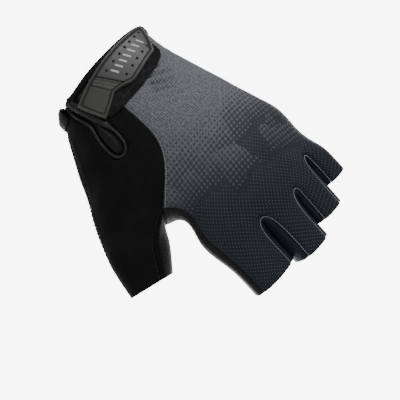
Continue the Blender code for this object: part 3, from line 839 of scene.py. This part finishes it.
def skin_rings(made, rings):
    """Faces between rings of equal length, with a cap at both ends."""
    for first, second in zip(rings, rings[1:]):
        for k in range(len(first)):
            m = (k + 1) % len(first)
            made.faces.new((first[k], first[m], second[m], second[k]))
    made.faces.new(rings[0][::-1])
    made.faces.new(rings[-1])


def direction(points, n):
    """The direction of a line at its point n."""
    return unit(points[min(n + 1, len(points) - 1)] - points[max(n - 1, 0)])


def tube(made, centres, ups, radius, around=8, flat=1.0):
    """Adds a closed tube along these centres. radius is one number or one for each centre."""
    radii = radius if hasattr(radius, "__len__") else [radius] * len(centres)
    rings = []
    for n, centre in enumerate(centres):
        tangent = direction(centres, n)
        up = unit(ups[n] - tangent * (ups[n] @ tangent))
        side = np.cross(tangent, up)
        ring = []
        for k in range(around):
            turn = 2 * math.pi * k / around
            outward = side * math.cos(turn) + up * math.sin(turn) * flat
            ring.append(made.verts.new(centre + outward * radii[n]))
        rings.append(ring)
    skin_rings(made, rings)


def finished(made, name, look):
    bmesh.ops.recalc_face_normals(made, faces=made.faces)
    mesh = bpy.data.meshes.new(name)
    made.to_mesh(mesh)
    made.free()
    return link(name, mesh, look)


def all_runs(edges):
    """Every run of these border edges, each as the points along it."""
    following = dict(edges)
    runs = []
    while following:
        starts = set(following) - set(following.values())
        at = min(starts) if starts else min(following)
        path = [at]
        while at in following:
            at = following.pop(at)
            path.append(at)
        runs.append(path)
    return runs


def evenly(line, ups, spacing):
    """Points and normals at an even spacing along a line."""
    steps = np.concatenate([[0], np.cumsum(np.linalg.norm(np.diff(line, axis=0), axis=1))])
    at = np.linspace(0, steps[-1], max(2, int(steps[-1] / spacing) + 1))
    points, normals = (np.stack([np.interp(at, steps, row) for row in way.T], axis=1) for way in (line, ups))
    return points, normals / np.linalg.norm(normals, axis=1)[:, None]


def smoothed(line, rounds):
    line = line.copy()
    for _ in range(rounds):
        line[1:-1] = line[1:-1] * 0.5 + (line[:-2] + line[2:]) * 0.25
    return line


THREAD_RADIUS = 0.00026
# A stitch from end to end: place in stitch lengths, height and thickness in thread radii.
STITCH = [(-0.5, -1.2, 0.5), (-0.35, 0.3, 0.9), (0.0, 0.7, 1.0), (0.35, 0.3, 0.9), (0.5, -1.2, 0.5)]


def stitch_row(made, line, ups, spacing, length):
    """Adds thread stitches along a line, each a short tube that dives into the cloth at both ends."""
    points, normals = evenly(line, ups, spacing)
    for n in range(1, len(points) - 1):
        along = direction(points, n)
        centres = [points[n] + along * length * t + normals[n] * THREAD_RADIUS * h for t, h, _ in STITCH]
        tube(made, centres, [normals[n]] * len(STITCH), [THREAD_RADIUS * k for _, _, k in STITCH], 6)


def seam_line(skin, panel, others, offset, sink, limit=math.inf):
    """Runs of points and normals beside a seam, on the side of the first panel, where y is below a limit."""
    runs = []
    for path in all_runs([edge for edge, other in border_edges(skin, panel).items() if other in others]):
        points, ups = skin.points[path], skin.normals[path]
        inward = np.array([unit(np.cross(ups[n], direction(points, n))) for n in range(len(path))])
        line = smoothed(points + inward * offset - ups * sink, 4)
        chosen = line[:, 1] < limit
        if chosen.sum() > 4:
            runs.append((line[chosen], ups[chosen]))
    return runs


def build_panels(colours, sizes):
    """The cloth panels, each with its wall in metres and the node that it stands for."""
    satin = cloth_look("satin_cloth", colours)
    made = [
        cloth_panel("glove_back", BACK, 0.0012, knit_look(colours, sizes), "back_panel"),
        cloth_panel("glove_palm", PALM, 0.0018, leather_look(colours), "palm_panel"),
        cloth_panel("glove_thumb", THUMB, 0.0013, cloth_look("suede_cloth", colours), "thumb_panel"),
        cloth_panel("thumb_strip", GUSSET, 0.0010, cloth_look("smooth_cloth", colours), "thumb_gusset"),
        cloth_panel("slit_fold", SLIT_GUSSET, 0.0010, cloth_look("stretch_cloth", colours), "slit_gusset"),
    ]
    nodes = ("fourchette_index_middle", "fourchette_middle_ring", "fourchette_ring_little")
    for n, node in enumerate(nodes):
        made.append(cloth_panel(f"finger_side_{n + 1}", FOURCHETTE + n, 0.0010, satin, node))
    slots = ["knit_mesh", "palm_leather", "suede_cloth", "smooth_cloth", "stretch_cloth"]
    slots += ["satin_cloth"] * 3


TAPE_THICKNESS = 0.0009
# How much fuller the tape is on the thumb side.
CUFF_SWELL = 0.0026


def build_cuff(colours):
    """Tape folded over the wrist edge, from one lip of the slit to the other, fuller on the thumb side."""
    skin = fine_surface()
    edges = []
    for panel in (BACK, PALM, THUMB):
        for edge, other in border_edges(skin, panel).items():
            if other is None and skin.points[list(edge), 1].min() > WRIST_EDGE_Y:
                edges.append(edge)
    path = all_runs(edges)[0]
    gap = LAYER_GAP * 0.8
    out = gap + TAPE_THICKNESS
    low = -HEM_WALL - gap
    # Across the tape: height over the skin, and distance beyond the wrist edge.
    profile = [
        (gap + 0.0004, -0.0036), (out * 0.95, -0.0033), (out, -0.0022), (out * 0.97, -0.0011),
        (out * 0.8, -0.0003), (out * 0.3, 0.0002), (low * 0.5, 0.0002), (low - 0.0006, -0.0003),
        (low - 0.0009, -0.0014), (low - 0.0008, -0.0033), (low, -0.0034), (low, -0.0008), (gap, -0.0008),
        (gap, -0.0033),
    ]
    made = bmesh.new()
    rings = []
    points = skin.points[path]
    for n, base in enumerate(points):
        tangent = direction(points, n)
        normal = skin.normals[path[n]]
        up = unit(normal - tangent * (normal @ tangent))
        forward = unit(np.cross(tangent, up))
        forward = forward if forward[1] > 0 else -forward
        full = 1.0 - soft_step(base[0], -0.036, -0.026)
        swell = CUFF_SWELL * full + 0.00008 * math.sin(n * 1.3) + 0.0002 * noise.noise(Vector(base) * 130)
        ring = []
        for a, b in profile:
            if b > -0.0005:
                ring.append(made.verts.new(base + up * (a + swell) + forward * b))
                continue
            place, outward, _, _ = skin.tree.find_nearest(base + forward * b * (1 + 1.5 * full))
            share = max(0.0, min(1.0, (0.0036 + b) / 0.0012))
            ring.append(made.verts.new(np.array(place) + np.array(outward) * (a + swell * share)))
        rings.append(ring)
    skin_rings(made, rings)
    tape = finished(made, "cuff_tape", cloth_look("binding_tape", colours))
    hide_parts("cuff_binding")


# Radius of the slit's edge, and what the roll along its upper lip adds to it from this share of the line on.
WELT_RADIUS, ROLL_RADIUS, ROLL_START = 0.00095, 0.00145, 0.66


def build_slit_welt(colours):
    """The rolled edge of the slit: fat along the upper lip beside the tab, thin round the rest."""
    skin = fine_surface()
    path = slit_path(skin)
    ups = skin.normals[path]
    line = smoothed(skin.points[path] - ups * 0.0003, 8)
    keep = line[:, 1] < -0.0004
    points, normals = evenly(line[keep], ups[keep], 0.0006)
    share = np.linspace(0, 1, len(points))
    upper = 1 - share if points[0][2] > points[-1][2] else share
    roll = soft_step(upper, ROLL_START, 0.73)
    fat = WELT_RADIUS + ROLL_RADIUS * roll
    fat = fat * (1 + 0.06 * np.array([noise.noise(Vector(p) * 220) for p in points]))
    opposite = points[upper < 0.45]
    for n in np.nonzero(roll > 0)[0]:
        across = opposite[int(np.argmin(np.linalg.norm(opposite - points[n], axis=1)))] - points[n]
        across = across - normals[n] * (across @ normals[n])
        shift = 0.0006 + 0.0009 * (upper[n] - ROLL_START) / (1 - ROLL_START)
        points[n] = points[n] + unit(across) * min(shift, 0.6 * np.linalg.norm(across)) * roll[n]
    made = bmesh.new()
    centres = smoothed(points, 6) + normals * (fat[:, None] - WELT_RADIUS) * 0.35
    tube(made, centres, normals, fat, 14)
    welt = finished(made, "slit_welt", cloth_look("welt_cloth", colours))
    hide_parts("slit_binding")


# The closing tab, from its sewn end on the thumb side to its tip. turn: degrees round the wrist, 180 on the
# thumb side. near, far: shares of the tab's reach for the edge at the cuff and the edge towards the hand.
# skew: degrees by which the far edge leads the near one. bow: degrees by which the row's middle lags behind.
STRAP = [
    # turn, near, far, skew, bow
    (143.0, 0.49, 1.37, -8.0, 0.0),
    (132.0, 0.38, 1.24, -7.5, 0.0),
    (122.5, 0.29, 1.06, -10.0, 0.0),
    (117.5, 0.26, 1.12, -13.5, 0.0),
    (113.5, 0.23, 1.20, -15.5, 0.0),
    (108.0, 0.20, 1.24, -13.0, 0.0),
    (100.0, 0.16, 1.25, -9.3, 0.0),
    (80.0, 0.10, 1.18, 0.0, 0.0),
    (64.0, 0.09, 1.12, 7.4, 0.4),
    (52.0, 0.08, 1.06, 12.0, 1.2),
    (46.0, 0.08, 1.03, 13.0, 1.8),
    (43.0, 0.10, 0.99, 13.5, 2.0),
    (41.8, 0.17, 0.92, 13.5, 2.0),
]
LOOP = [
    # turn, near, far, skew, bow
    (139.0, 0.20, 1.02, -8.0, 0.0),
    (124.0, 0.17, 1.08, -4.0, 0.0),
    (100.0, 0.17, 1.08, 0.0, 0.0),
    (90.0, 0.17, 1.08, 0.0, 0.0),
    (66.0, 0.17, 1.00, 0.0, 0.0),
    (50.0, 0.17, 0.88, 4.0, 0.0),
    (43.0, 0.17, 0.78, 7.0, 0.0),
]
# The plate ends at this row of the tab, and the ridged neck at the next.
PLATE_END = 113.5
NECK_END = 122.5
# Turns are written into the tab's first cloth coordinate in units of this many degrees.
TURN_UNIT = 100
# Degrees round the wrist and share of the reach of each dimple, along both long sides of the plate.
DIMPLES = [
    (51.0, 0.27), (58.0, 0.29), (66.0, 0.32), (73.0, 0.35), (81.5, 0.38), (91.0, 0.41), (102.0, 0.45),
    (58.0, 0.77), (66.5, 0.82), (74.5, 0.86), (83.0, 0.92), (93.0, 0.97),
]


def table_at(table, value):
    """A row between the rows of a table, by its first column, which falls."""
    rows = np.array(table, float)[::-1]
    return [float(np.interp(value, rows[:, 0], rows[:, k])) for k in range(1, rows.shape[1])]


def surface_at(tree, degrees, y):
    """The point and normal of the outer face round the wrist, at this angle and distance along the hand."""
    angle = math.radians(degrees)
    away = Vector((math.cos(angle) * WRIST_WIDTH, 0, math.sin(angle) * WRIST_DEPTH))
    start = Vector((0, y, 0)) + away * 3
    point, normal, _, _ = tree.ray_cast(start, -away.normalized())
    return np.array(point), np.array(normal)


def smooth_field(grid, rounds):
    """Evens out a grid of directions."""
    for _ in range(rounds):
        padded = np.pad(grid, ((1, 1), (1, 1), (0, 0)), mode="edge")
        grid = (padded[:-2, 1:-1] + padded[2:, 1:-1] + padded[1:-1, :-2] + padded[1:-1, 2:] + 4 * grid) / 8
    return grid / np.linalg.norm(grid, axis=2)[:, :, None]


def layer_grid(table, reach, steps, wide):
    """Turns, base points, normals and distance from the outline, for a slab on the wrist."""
    tree = fine_surface().tree
    turns = np.linspace(table[0][0], table[-1][0], steps)
    base = np.empty((steps, wide, 3))
    ups = np.empty((steps, wide, 3))
    for i, turn in enumerate(turns):
        near, far, skew, bow = table_at(table, turn)
        for j in range(wide):
            share = j / (wide - 1)
            angle = turn + skew * share - 4 * bow * share * (1 - share)
            base[i, j], ups[i, j] = surface_at(tree, angle, -reach * (near + (far - near) * share))
    rim = np.concatenate([base[0], base[-1], base[:, 0], base[:, -1]])
    edge = distances(base.reshape(-1, 3), rim).reshape(steps, wide)
    return turns, base, smooth_field(ups, 12), edge


def slab(made, base, ups, low, heights, uvs=None):
    """Adds a closed slab over a grid of base points: a raised grid of faces, with a wall down to its base."""
    steps, wide = heights.shape
    source = made.verts.layers.int.new("source")
    layer = made.loops.layers.uv.verify()
    bmesh.ops.create_grid(made, x_segments=wide - 1, y_segments=steps - 1, size=1.0)
    place = {}
    for v in made.verts:
        j = round((v.co.x + 1) / 2 * (wide - 1))
        i = round((v.co.y + 1) / 2 * (steps - 1))
        place[v] = (i, j)
    for face in made.faces:
        for loop in face.loops:
            loop[layer].uv = uvs[place[loop.vert]] if uvs is not None else (0, 0)
    for v, (i, j) in place.items():
        v[source] = i * wide + j
    under = set(made.verts)
    bmesh.ops.extrude_face_region(made, geom=made.faces[:], use_keep_orig=True)
    for v in made.verts:
        i, j = divmod(v[source], wide)
        v.co = base[i, j] + ups[i, j] * (low if v in under else low + heights[i, j])


def soft_step(value, low, high):
    t = np.clip((value - low) / (high - low), 0, 1)
    return t * t * (3 - 2 * t)


# Relief of the tab: the bead over the plate and how far its outer edge drops, the grooves inside the bead and
# at both ends of the neck, how deep the neck, the sewn end and the dimples lie, and the neck's ridges.
BEAD, EDGE_DROP = 0.0004, 0.0012
RIM_GROOVE, PLATE_GROOVE, NECK_GROOVE = 0.0007, 0.0009, 0.0007
NECK_SINK, SEWN_SINK, DIMPLE_SINK = 0.00025, 0.0003, 0.0012
NECK_RIDGE, NECK_RIDGE_TURN = 0.00012, 3.0
# The groove inside the bead runs this far from the tab's outline.
RIM_PLACE = 0.0020
# The slanted bars on the plate: how many, where the first lies, how far each moves on, half length, slant.
BARS = 7
BAR_TURN, BAR_TURN_STEP, BAR_PLACE, BAR_PLACE_STEP = 97.5, 6.4, 0.655, 0.023
BAR_HALF, BAR_SLANT = 0.115, 13


def build_strap(colours):
    """The moulded tab: a rounded bead, a dimpled plate, a ridged neck and a smooth part at its sewn end."""
    steps, wide = 320, 90
    turns, base, ups, edge = layer_grid(STRAP, STRAP_REACH, steps, wide)
    tree = fine_surface().tree
    turn = np.repeat(turns[:, None], wide, axis=1)
    inside = soft_step(edge, 0.0018, 0.0024)
    plate = STRAP_THICKNESS - BEAD
    heights = np.full((steps, wide), plate)
    heights += BEAD * (1 - soft_step(edge, 0.0013, 0.0016))
    heights -= EDGE_DROP * (1 - soft_step(edge, 0.0, 0.0007)) ** 2
    heights -= RIM_GROOVE * bell(edge, RIM_PLACE, 0.0004)
    heights -= PLATE_GROOVE * bell(turn, PLATE_END, 0.6) * inside
    heights -= NECK_GROOVE * bell(turn, NECK_END, 0.55) * inside
    neck = soft_step(turn, PLATE_END + 0.4, PLATE_END + 1.0) * inside
    neck *= 1 - soft_step(turn, NECK_END - 0.6, NECK_END)
    heights -= (NECK_SINK + NECK_RIDGE * np.cos((turn - PLATE_END) * 2 * math.pi / NECK_RIDGE_TURN)) * neck
    heights -= SEWN_SINK * soft_step(turn, NECK_END + 2, NECK_END + 5) * inside
    # Painted shade: how dark each place is, in the rim groove, the grooves at both ends of the neck, the neck
    # and the dimples, which goes to the rubber's look as the second coordinate.
    deep = 0.9 * bell(edge, RIM_PLACE, 0.00042) + 0.9 * bell(turn, PLATE_END, 0.5) * inside
    deep += 0.8 * bell(turn, NECK_END, 0.45) * inside + 0.35 * bell(turn, PLATE_END + 2.2, 1.0) * inside
    for at, place in DIMPLES:
        point, _ = surface_at(tree, at, -STRAP_REACH * place)
        d = np.linalg.norm(base - point, axis=2)
        heights -= DIMPLE_SINK * (1 - soft_step(d, 0.00040, 0.00080))
        # Painted shade in each dimple.
        deep += 1.0 - soft_step(d, 0.00045, 0.00085)
    low = LAYER_GAP * 2 + LOOP_THICKNESS
    made = bmesh.new()
    slab(made, base, ups, low, heights, np.stack([turn / TURN_UNIT, np.clip(deep, 0, 1)], axis=2))
    tab = finished(made, "closing_tab", rubber_look(colours))
    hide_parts("strap_tab")
    made = bmesh.new()
    for n in range(BARS):
        at = BAR_TURN - BAR_TURN_STEP * n
        place = BAR_PLACE - BAR_PLACE_STEP * n
        centres = []
        normals = []
        for share in np.linspace(-BAR_HALF, BAR_HALF, 9):
            point, _ = surface_at(tree, at - BAR_SLANT * share, -STRAP_REACH * (place + share))
            i, j = divmod(int(np.argmin(np.linalg.norm(base - point, axis=2))), wide)
            centres.append(point + ups[i, j] * (low + plate))
            normals.append(ups[i, j])
        tube(made, centres, normals, [0.0004] + [0.00062] * 7 + [0.0004], 8, 0.4)
    bars = finished(made, "tab_bars", stitch_look("bar_print_look", colours.bar_grey))


# The pile: height of its nap, number of yarn loops, their mean size and the yarn's radius.
NAP, YARN_LOOPS, YARN_SIZE, YARN_RADIUS = 0.00022, 1500, 0.00042, 0.00010
# A loop of yarn from foot to foot: sideways and upwards, in loop sizes.
YARN_LOOP = [(-0.6, 0), (-0.75, 0.9), (0, 1.6), (0.75, 0.9), (0.6, 0)]


def build_loop_patch(colours):
    """The pile under the tab: a napped slab covered with small loops of yarn."""
    steps, wide = 170, 60
    _, base, ups, edge = layer_grid(LOOP, LOOP_REACH, steps, wide)
    nap = [noise.noise(Vector(p) * 900) + 0.7 * noise.noise(Vector(p) * 420) for p in base.reshape(-1, 3)]
    nap = np.array(nap).reshape(steps, wide)
    heights = LOOP_THICKNESS + NAP * nap - 0.0006 * (1 - soft_step(edge, 0.0, 0.0007))
    made = bmesh.new()
    slab(made, base, ups, LAYER_GAP, heights)
    rng = np.random.default_rng(7)
    for _ in range(YARN_LOOPS):
        i = int(rng.integers(1, steps - 1))
        j = min(int(wide * (0.45 + 0.55 * rng.random())), wide - 2)
        up = unit(ups[i, j] + rng.normal(0, 0.25, 3))
        side = unit(np.cross(up, rng.normal(0, 1, 3)))
        root = base[i, j] + ups[i, j] * (LAYER_GAP + heights[i, j] - 0.0002)
        size = YARN_SIZE * (0.8 + 0.5 * rng.random())
        centres = [root + side * size * a + up * size * b for a, b in YARN_LOOP]
        tube(made, centres, [np.cross(side, up)] * len(YARN_LOOP), YARN_RADIUS, 4)
    patch = finished(made, "pile_patch", cloth_look("pile", colours))
    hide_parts("loop_patch")


def build_stitches(colours):
    """Pale thread along the edge of the knit back, and black thread on the palm's and the thumb's seams."""
    skin = fine_surface()
    made = bmesh.new()
    for line, ups in seam_line(skin, BACK, (THUMB,), 0.0009, 0.0003, -0.022):
        stitch_row(made, line, ups, 0.0016, 0.00125)
    for number in range(3):
        for line, ups in seam_line(skin, BACK, (FOURCHETTE + number,), 0.0007, 0.00035):
            stitch_row(made, line, ups, 0.0014, 0.0011)
    pale = finished(made, "pale_stitches", stitch_look("pale_thread_look", colours.thread_grey))
    made = bmesh.new()
    for panel, others in ((PALM, (THUMB, GUSSET, BACK)), (THUMB, (PALM, GUSSET))):
        for line, ups in seam_line(skin, panel, others, 0.0013, 0.0002):
            stitch_row(made, line, ups, 0.0026, 0.0019)
    dark = finished(made, "dark_stitches", stitch_look("dark_thread_look", colours.thread_black))


# The camera looks at the pivot, turned about the hand and lifted, in degrees. Its shifts frame the glove.
PIVOT = Vector((-0.010, -0.080, -0.005))
VIEW_TURN, VIEW_LIFT, VIEW_DISTANCE = -50.0, 66.0, 0.9
LENS, LENS_SHIFT = 141.0, (0.0035, -0.08)
# The floor: half its side, its height, and the strength of its glow.
FLOOR_HALF, FLOOR_Z, FLOOR_GLOW = 4.0, -0.35, 7.0
# The glow's centre lies this far behind the pivot, and it falls to this share between these distances.
GLOW_CENTRE, GLOW_AWAY, GLOW_FALL = 0.38, 0.12, (0.30, 0.60)
WORLD_GLOW = 0.42
# The lamps: metres from the pivot to the right, upwards and backwards, size in metres, and power.
LAMPS = {"key": (0.25, 1.05, 0.55, 0.35, 11.3), "fill": (-0.1, -0.15, 1.1, 0.9, 5.0)}


def view_axes():
    """Right, up and backwards for the camera."""
    a, e = math.radians(VIEW_TURN), math.radians(VIEW_LIFT)
    back = Vector((math.sin(a) * math.cos(e), -math.cos(a) * math.cos(e), math.sin(e)))
    right = Vector((math.cos(a), math.sin(a), 0.0))
    return right, back.cross(right), back


def lamp(name, place, size, power):
    data = bpy.data.lights.new(name, "AREA")
    data.shape = "DISK"
    data.size = size
    data.energy = power
    obj = placed(name, data)
    obj.location = place
    obj.rotation_euler = (PIVOT - place).to_track_quat("-Z", "Y").to_euler()


def floor_look(centre):
    """White, with a glow that falls off away from its centre."""
    look = Looks("floor_look", 0.9)
    look.colour((0.93, 0.93, 0.93))
    inputs = {0: look.place.outputs["Object"], 1: (1, 1, 0), 2: (-centre.x, -centre.y, 0)}
    flat = look.node("ShaderNodeVectorMath", inputs, operation="MULTIPLY_ADD")
    away = look.node("ShaderNodeVectorMath", {0: flat}, "Value", operation="LENGTH")
    glow = look.blend(look.step(away, *GLOW_FALL), (1.0,) * 3, (GLOW_AWAY,) * 3)
    look.shade({"Emission Color": glow, "Emission Strength": FLOOR_GLOW})
    return look.material


def build_stage():
    right, up, back = view_axes()
    corners = [(x * FLOOR_HALF, y * FLOOR_HALF, FLOOR_Z) for x, y in ((-1, -1), (1, -1), (1, 1), (-1, 1))]
    mesh = bpy.data.meshes.new("floor")
    mesh.from_pydata(corners, [], [(0, 1, 2, 3)])
    mesh.materials.append(floor_look(PIVOT - back * GLOW_CENTRE))
    floor = placed("floor", mesh)
    for name, (rightwards, upwards, backwards, size, power) in LAMPS.items():
        lamp(name, PIVOT + right * rightwards + up * upwards + back * backwards, size, power)
    world = bpy.data.worlds.new("studio")
    world.use_nodes = True
    world.node_tree.nodes["Background"].inputs[0].default_value = (1, 1, 1, 1)
    world.node_tree.nodes["Background"].inputs[1].default_value = WORLD_GLOW
    bpy.context.scene.world = world
    data = bpy.data.cameras.new("camera")
    data.lens = LENS
    data.shift_x, data.shift_y = LENS_SHIFT
    data.clip_start = 0.01
    camera = placed("camera", data)
    frame_of_view = Matrix((right, up, back)).transposed().to_4x4()
    frame_of_view.translation = PIVOT + back * VIEW_DISTANCE
    camera.matrix_world = frame_of_view
    bpy.context.scene.camera = camera


class GloveSizes(bpy.types.PropertyGroup):
    knit_pitch: FloatProperty(
        name="Knit pitch", description="Distance between rows of the knit", default=0.0026, unit="LENGTH")


def tone(name, description, colour):
    return FloatVectorProperty(
        name=name, description=description, default=colour, size=3, subtype="COLOR", min=0, max=1)


class GloveColours(bpy.types.PropertyGroup):
    knit_grey: tone("Knit grey", "Raised dots of the back at the wrist", (0.165, 0.168, 0.180))
    knit_charcoal: tone("Knit charcoal", "Holes of the back at the wrist", (0.020, 0.021, 0.024))
    knit_dusk: tone("Knit dusk", "Raised dots of the back at the fingers", (0.034, 0.039, 0.050))
    knit_navy: tone("Knit navy", "Holes of the back at the fingers", (0.0105, 0.0125, 0.0172))
    # Painted highlight on the tops of the raised dots of the knit.
    knit_dot_highlight: tone("Knit dot", "Bright dots of the back towards the fingers", (0.100, 0.106, 0.120))
    finger_navy: tone("Finger navy", "Satin strips between the fingers", (0.0092, 0.0114, 0.0165))
    thumb_black: tone("Thumb black", "Suede-like cloth of the thumb", (0.0052, 0.0052, 0.0053))
    strip_black: tone("Strip black", "Smooth strip inside the thumb", (0.0034, 0.0034, 0.0036))
    palm_black: tone("Palm black", "Leather of the palm", (0.0044, 0.0044, 0.0048))
    slit_black: tone("Slit black", "Folded cloth in the slit", (0.0045, 0.0045, 0.0048))
    tape_black: tone("Tape black", "Tape at the wrist", (0.0032, 0.0032, 0.0035))
    welt_black: tone("Welt black", "Rolled edge of the slit", (0.0055, 0.0052, 0.0053))
    pile_black: tone("Pile black", "Loops of the patch", (0.0120, 0.0120, 0.0130))
    tab_grey: tone("Tab grey", "Plate of the tab", (0.058, 0.057, 0.059))
    tab_olive: tone("Tab olive", "Smooth part of the tab", (0.052, 0.053, 0.045))
    bar_grey: tone("Bar grey", "Bars on the tab", (0.42, 0.42, 0.42))
    thread_grey: tone("Thread grey", "Pale thread", (0.20, 0.205, 0.215))
    thread_black: tone("Thread black", "Dark thread", (0.012, 0.012, 0.013))


class GLOVE_OT_stage(bpy.types.Operator):
    """Adds the floor, the lamps and the camera"""
    bl_idname = "glove.stage"
    bl_label = "Stage"

    def execute(self, context):
        build_stage()
        return {"FINISHED"}


class GLOVE_OT_panels(bpy.types.Operator):
    """Cuts the cloth panels from the fine surface"""
    bl_idname = "glove.panels"
    bl_label = "Cloth panels"

    def execute(self, context):
        build_panels(context.scene.glove_colours, context.scene.glove_sizes)
        return {"FINISHED"}


class GLOVE_OT_cuff(bpy.types.Operator):
    """Adds the tape at the wrist and the welt round the slit"""
    bl_idname = "glove.cuff"
    bl_label = "Cuff and slit"

    def execute(self, context):
        build_cuff(context.scene.glove_colours)
        build_slit_welt(context.scene.glove_colours)
        return {"FINISHED"}


class GLOVE_OT_tab(bpy.types.Operator):
    """Adds the moulded closing tab and the pile patch under it"""
    bl_idname = "glove.tab"
    bl_label = "Closing tab"

    def execute(self, context):
        build_strap(context.scene.glove_colours)
        build_loop_patch(context.scene.glove_colours)
        return {"FINISHED"}


class GLOVE_OT_stitches(bpy.types.Operator):
    """Sews the rows of thread along the seams"""
    bl_idname = "glove.stitches"
    bl_label = "Stitches"

    def execute(self, context):
        build_stitches(context.scene.glove_colours)
        return {"FINISHED"}


class GLOVE_PT_panel(bpy.types.Panel):
    bl_label = "Cycling glove"
    bl_idname = "GLOVE_PT_panel"
    bl_space_type = "VIEW_3D"
    bl_region_type = "UI"
    bl_category = "Glove"

    def draw(self, context):
        for group in (context.scene.glove_sizes, context.scene.glove_colours):
            for name in group.__annotations__:
                self.layout.prop(group, name)
        for name in STEPS:
            self.layout.operator(f"glove.{name}")


STEPS = ("stage", "panels", "cuff", "tab", "stitches")
CLASSES = (
    GloveSizes, GloveColours, GLOVE_OT_stage, GLOVE_OT_panels, GLOVE_OT_cuff, GLOVE_OT_tab, GLOVE_OT_stitches,
    GLOVE_PT_panel)


def register():
    for made in CLASSES:
        bpy.utils.register_class(made)
    bpy.types.Scene.glove_sizes = PointerProperty(type=GloveSizes)
    bpy.types.Scene.glove_colours = PointerProperty(type=GloveColours)


def unregister():
    del bpy.types.Scene.glove_colours
    del bpy.types.Scene.glove_sizes
    for made in reversed(CLASSES):
        bpy.utils.unregister_class(made)


def main():
    register()
    for name in STEPS:
        getattr(bpy.ops.glove, name)()


if __name__ == "__main__":
    main()
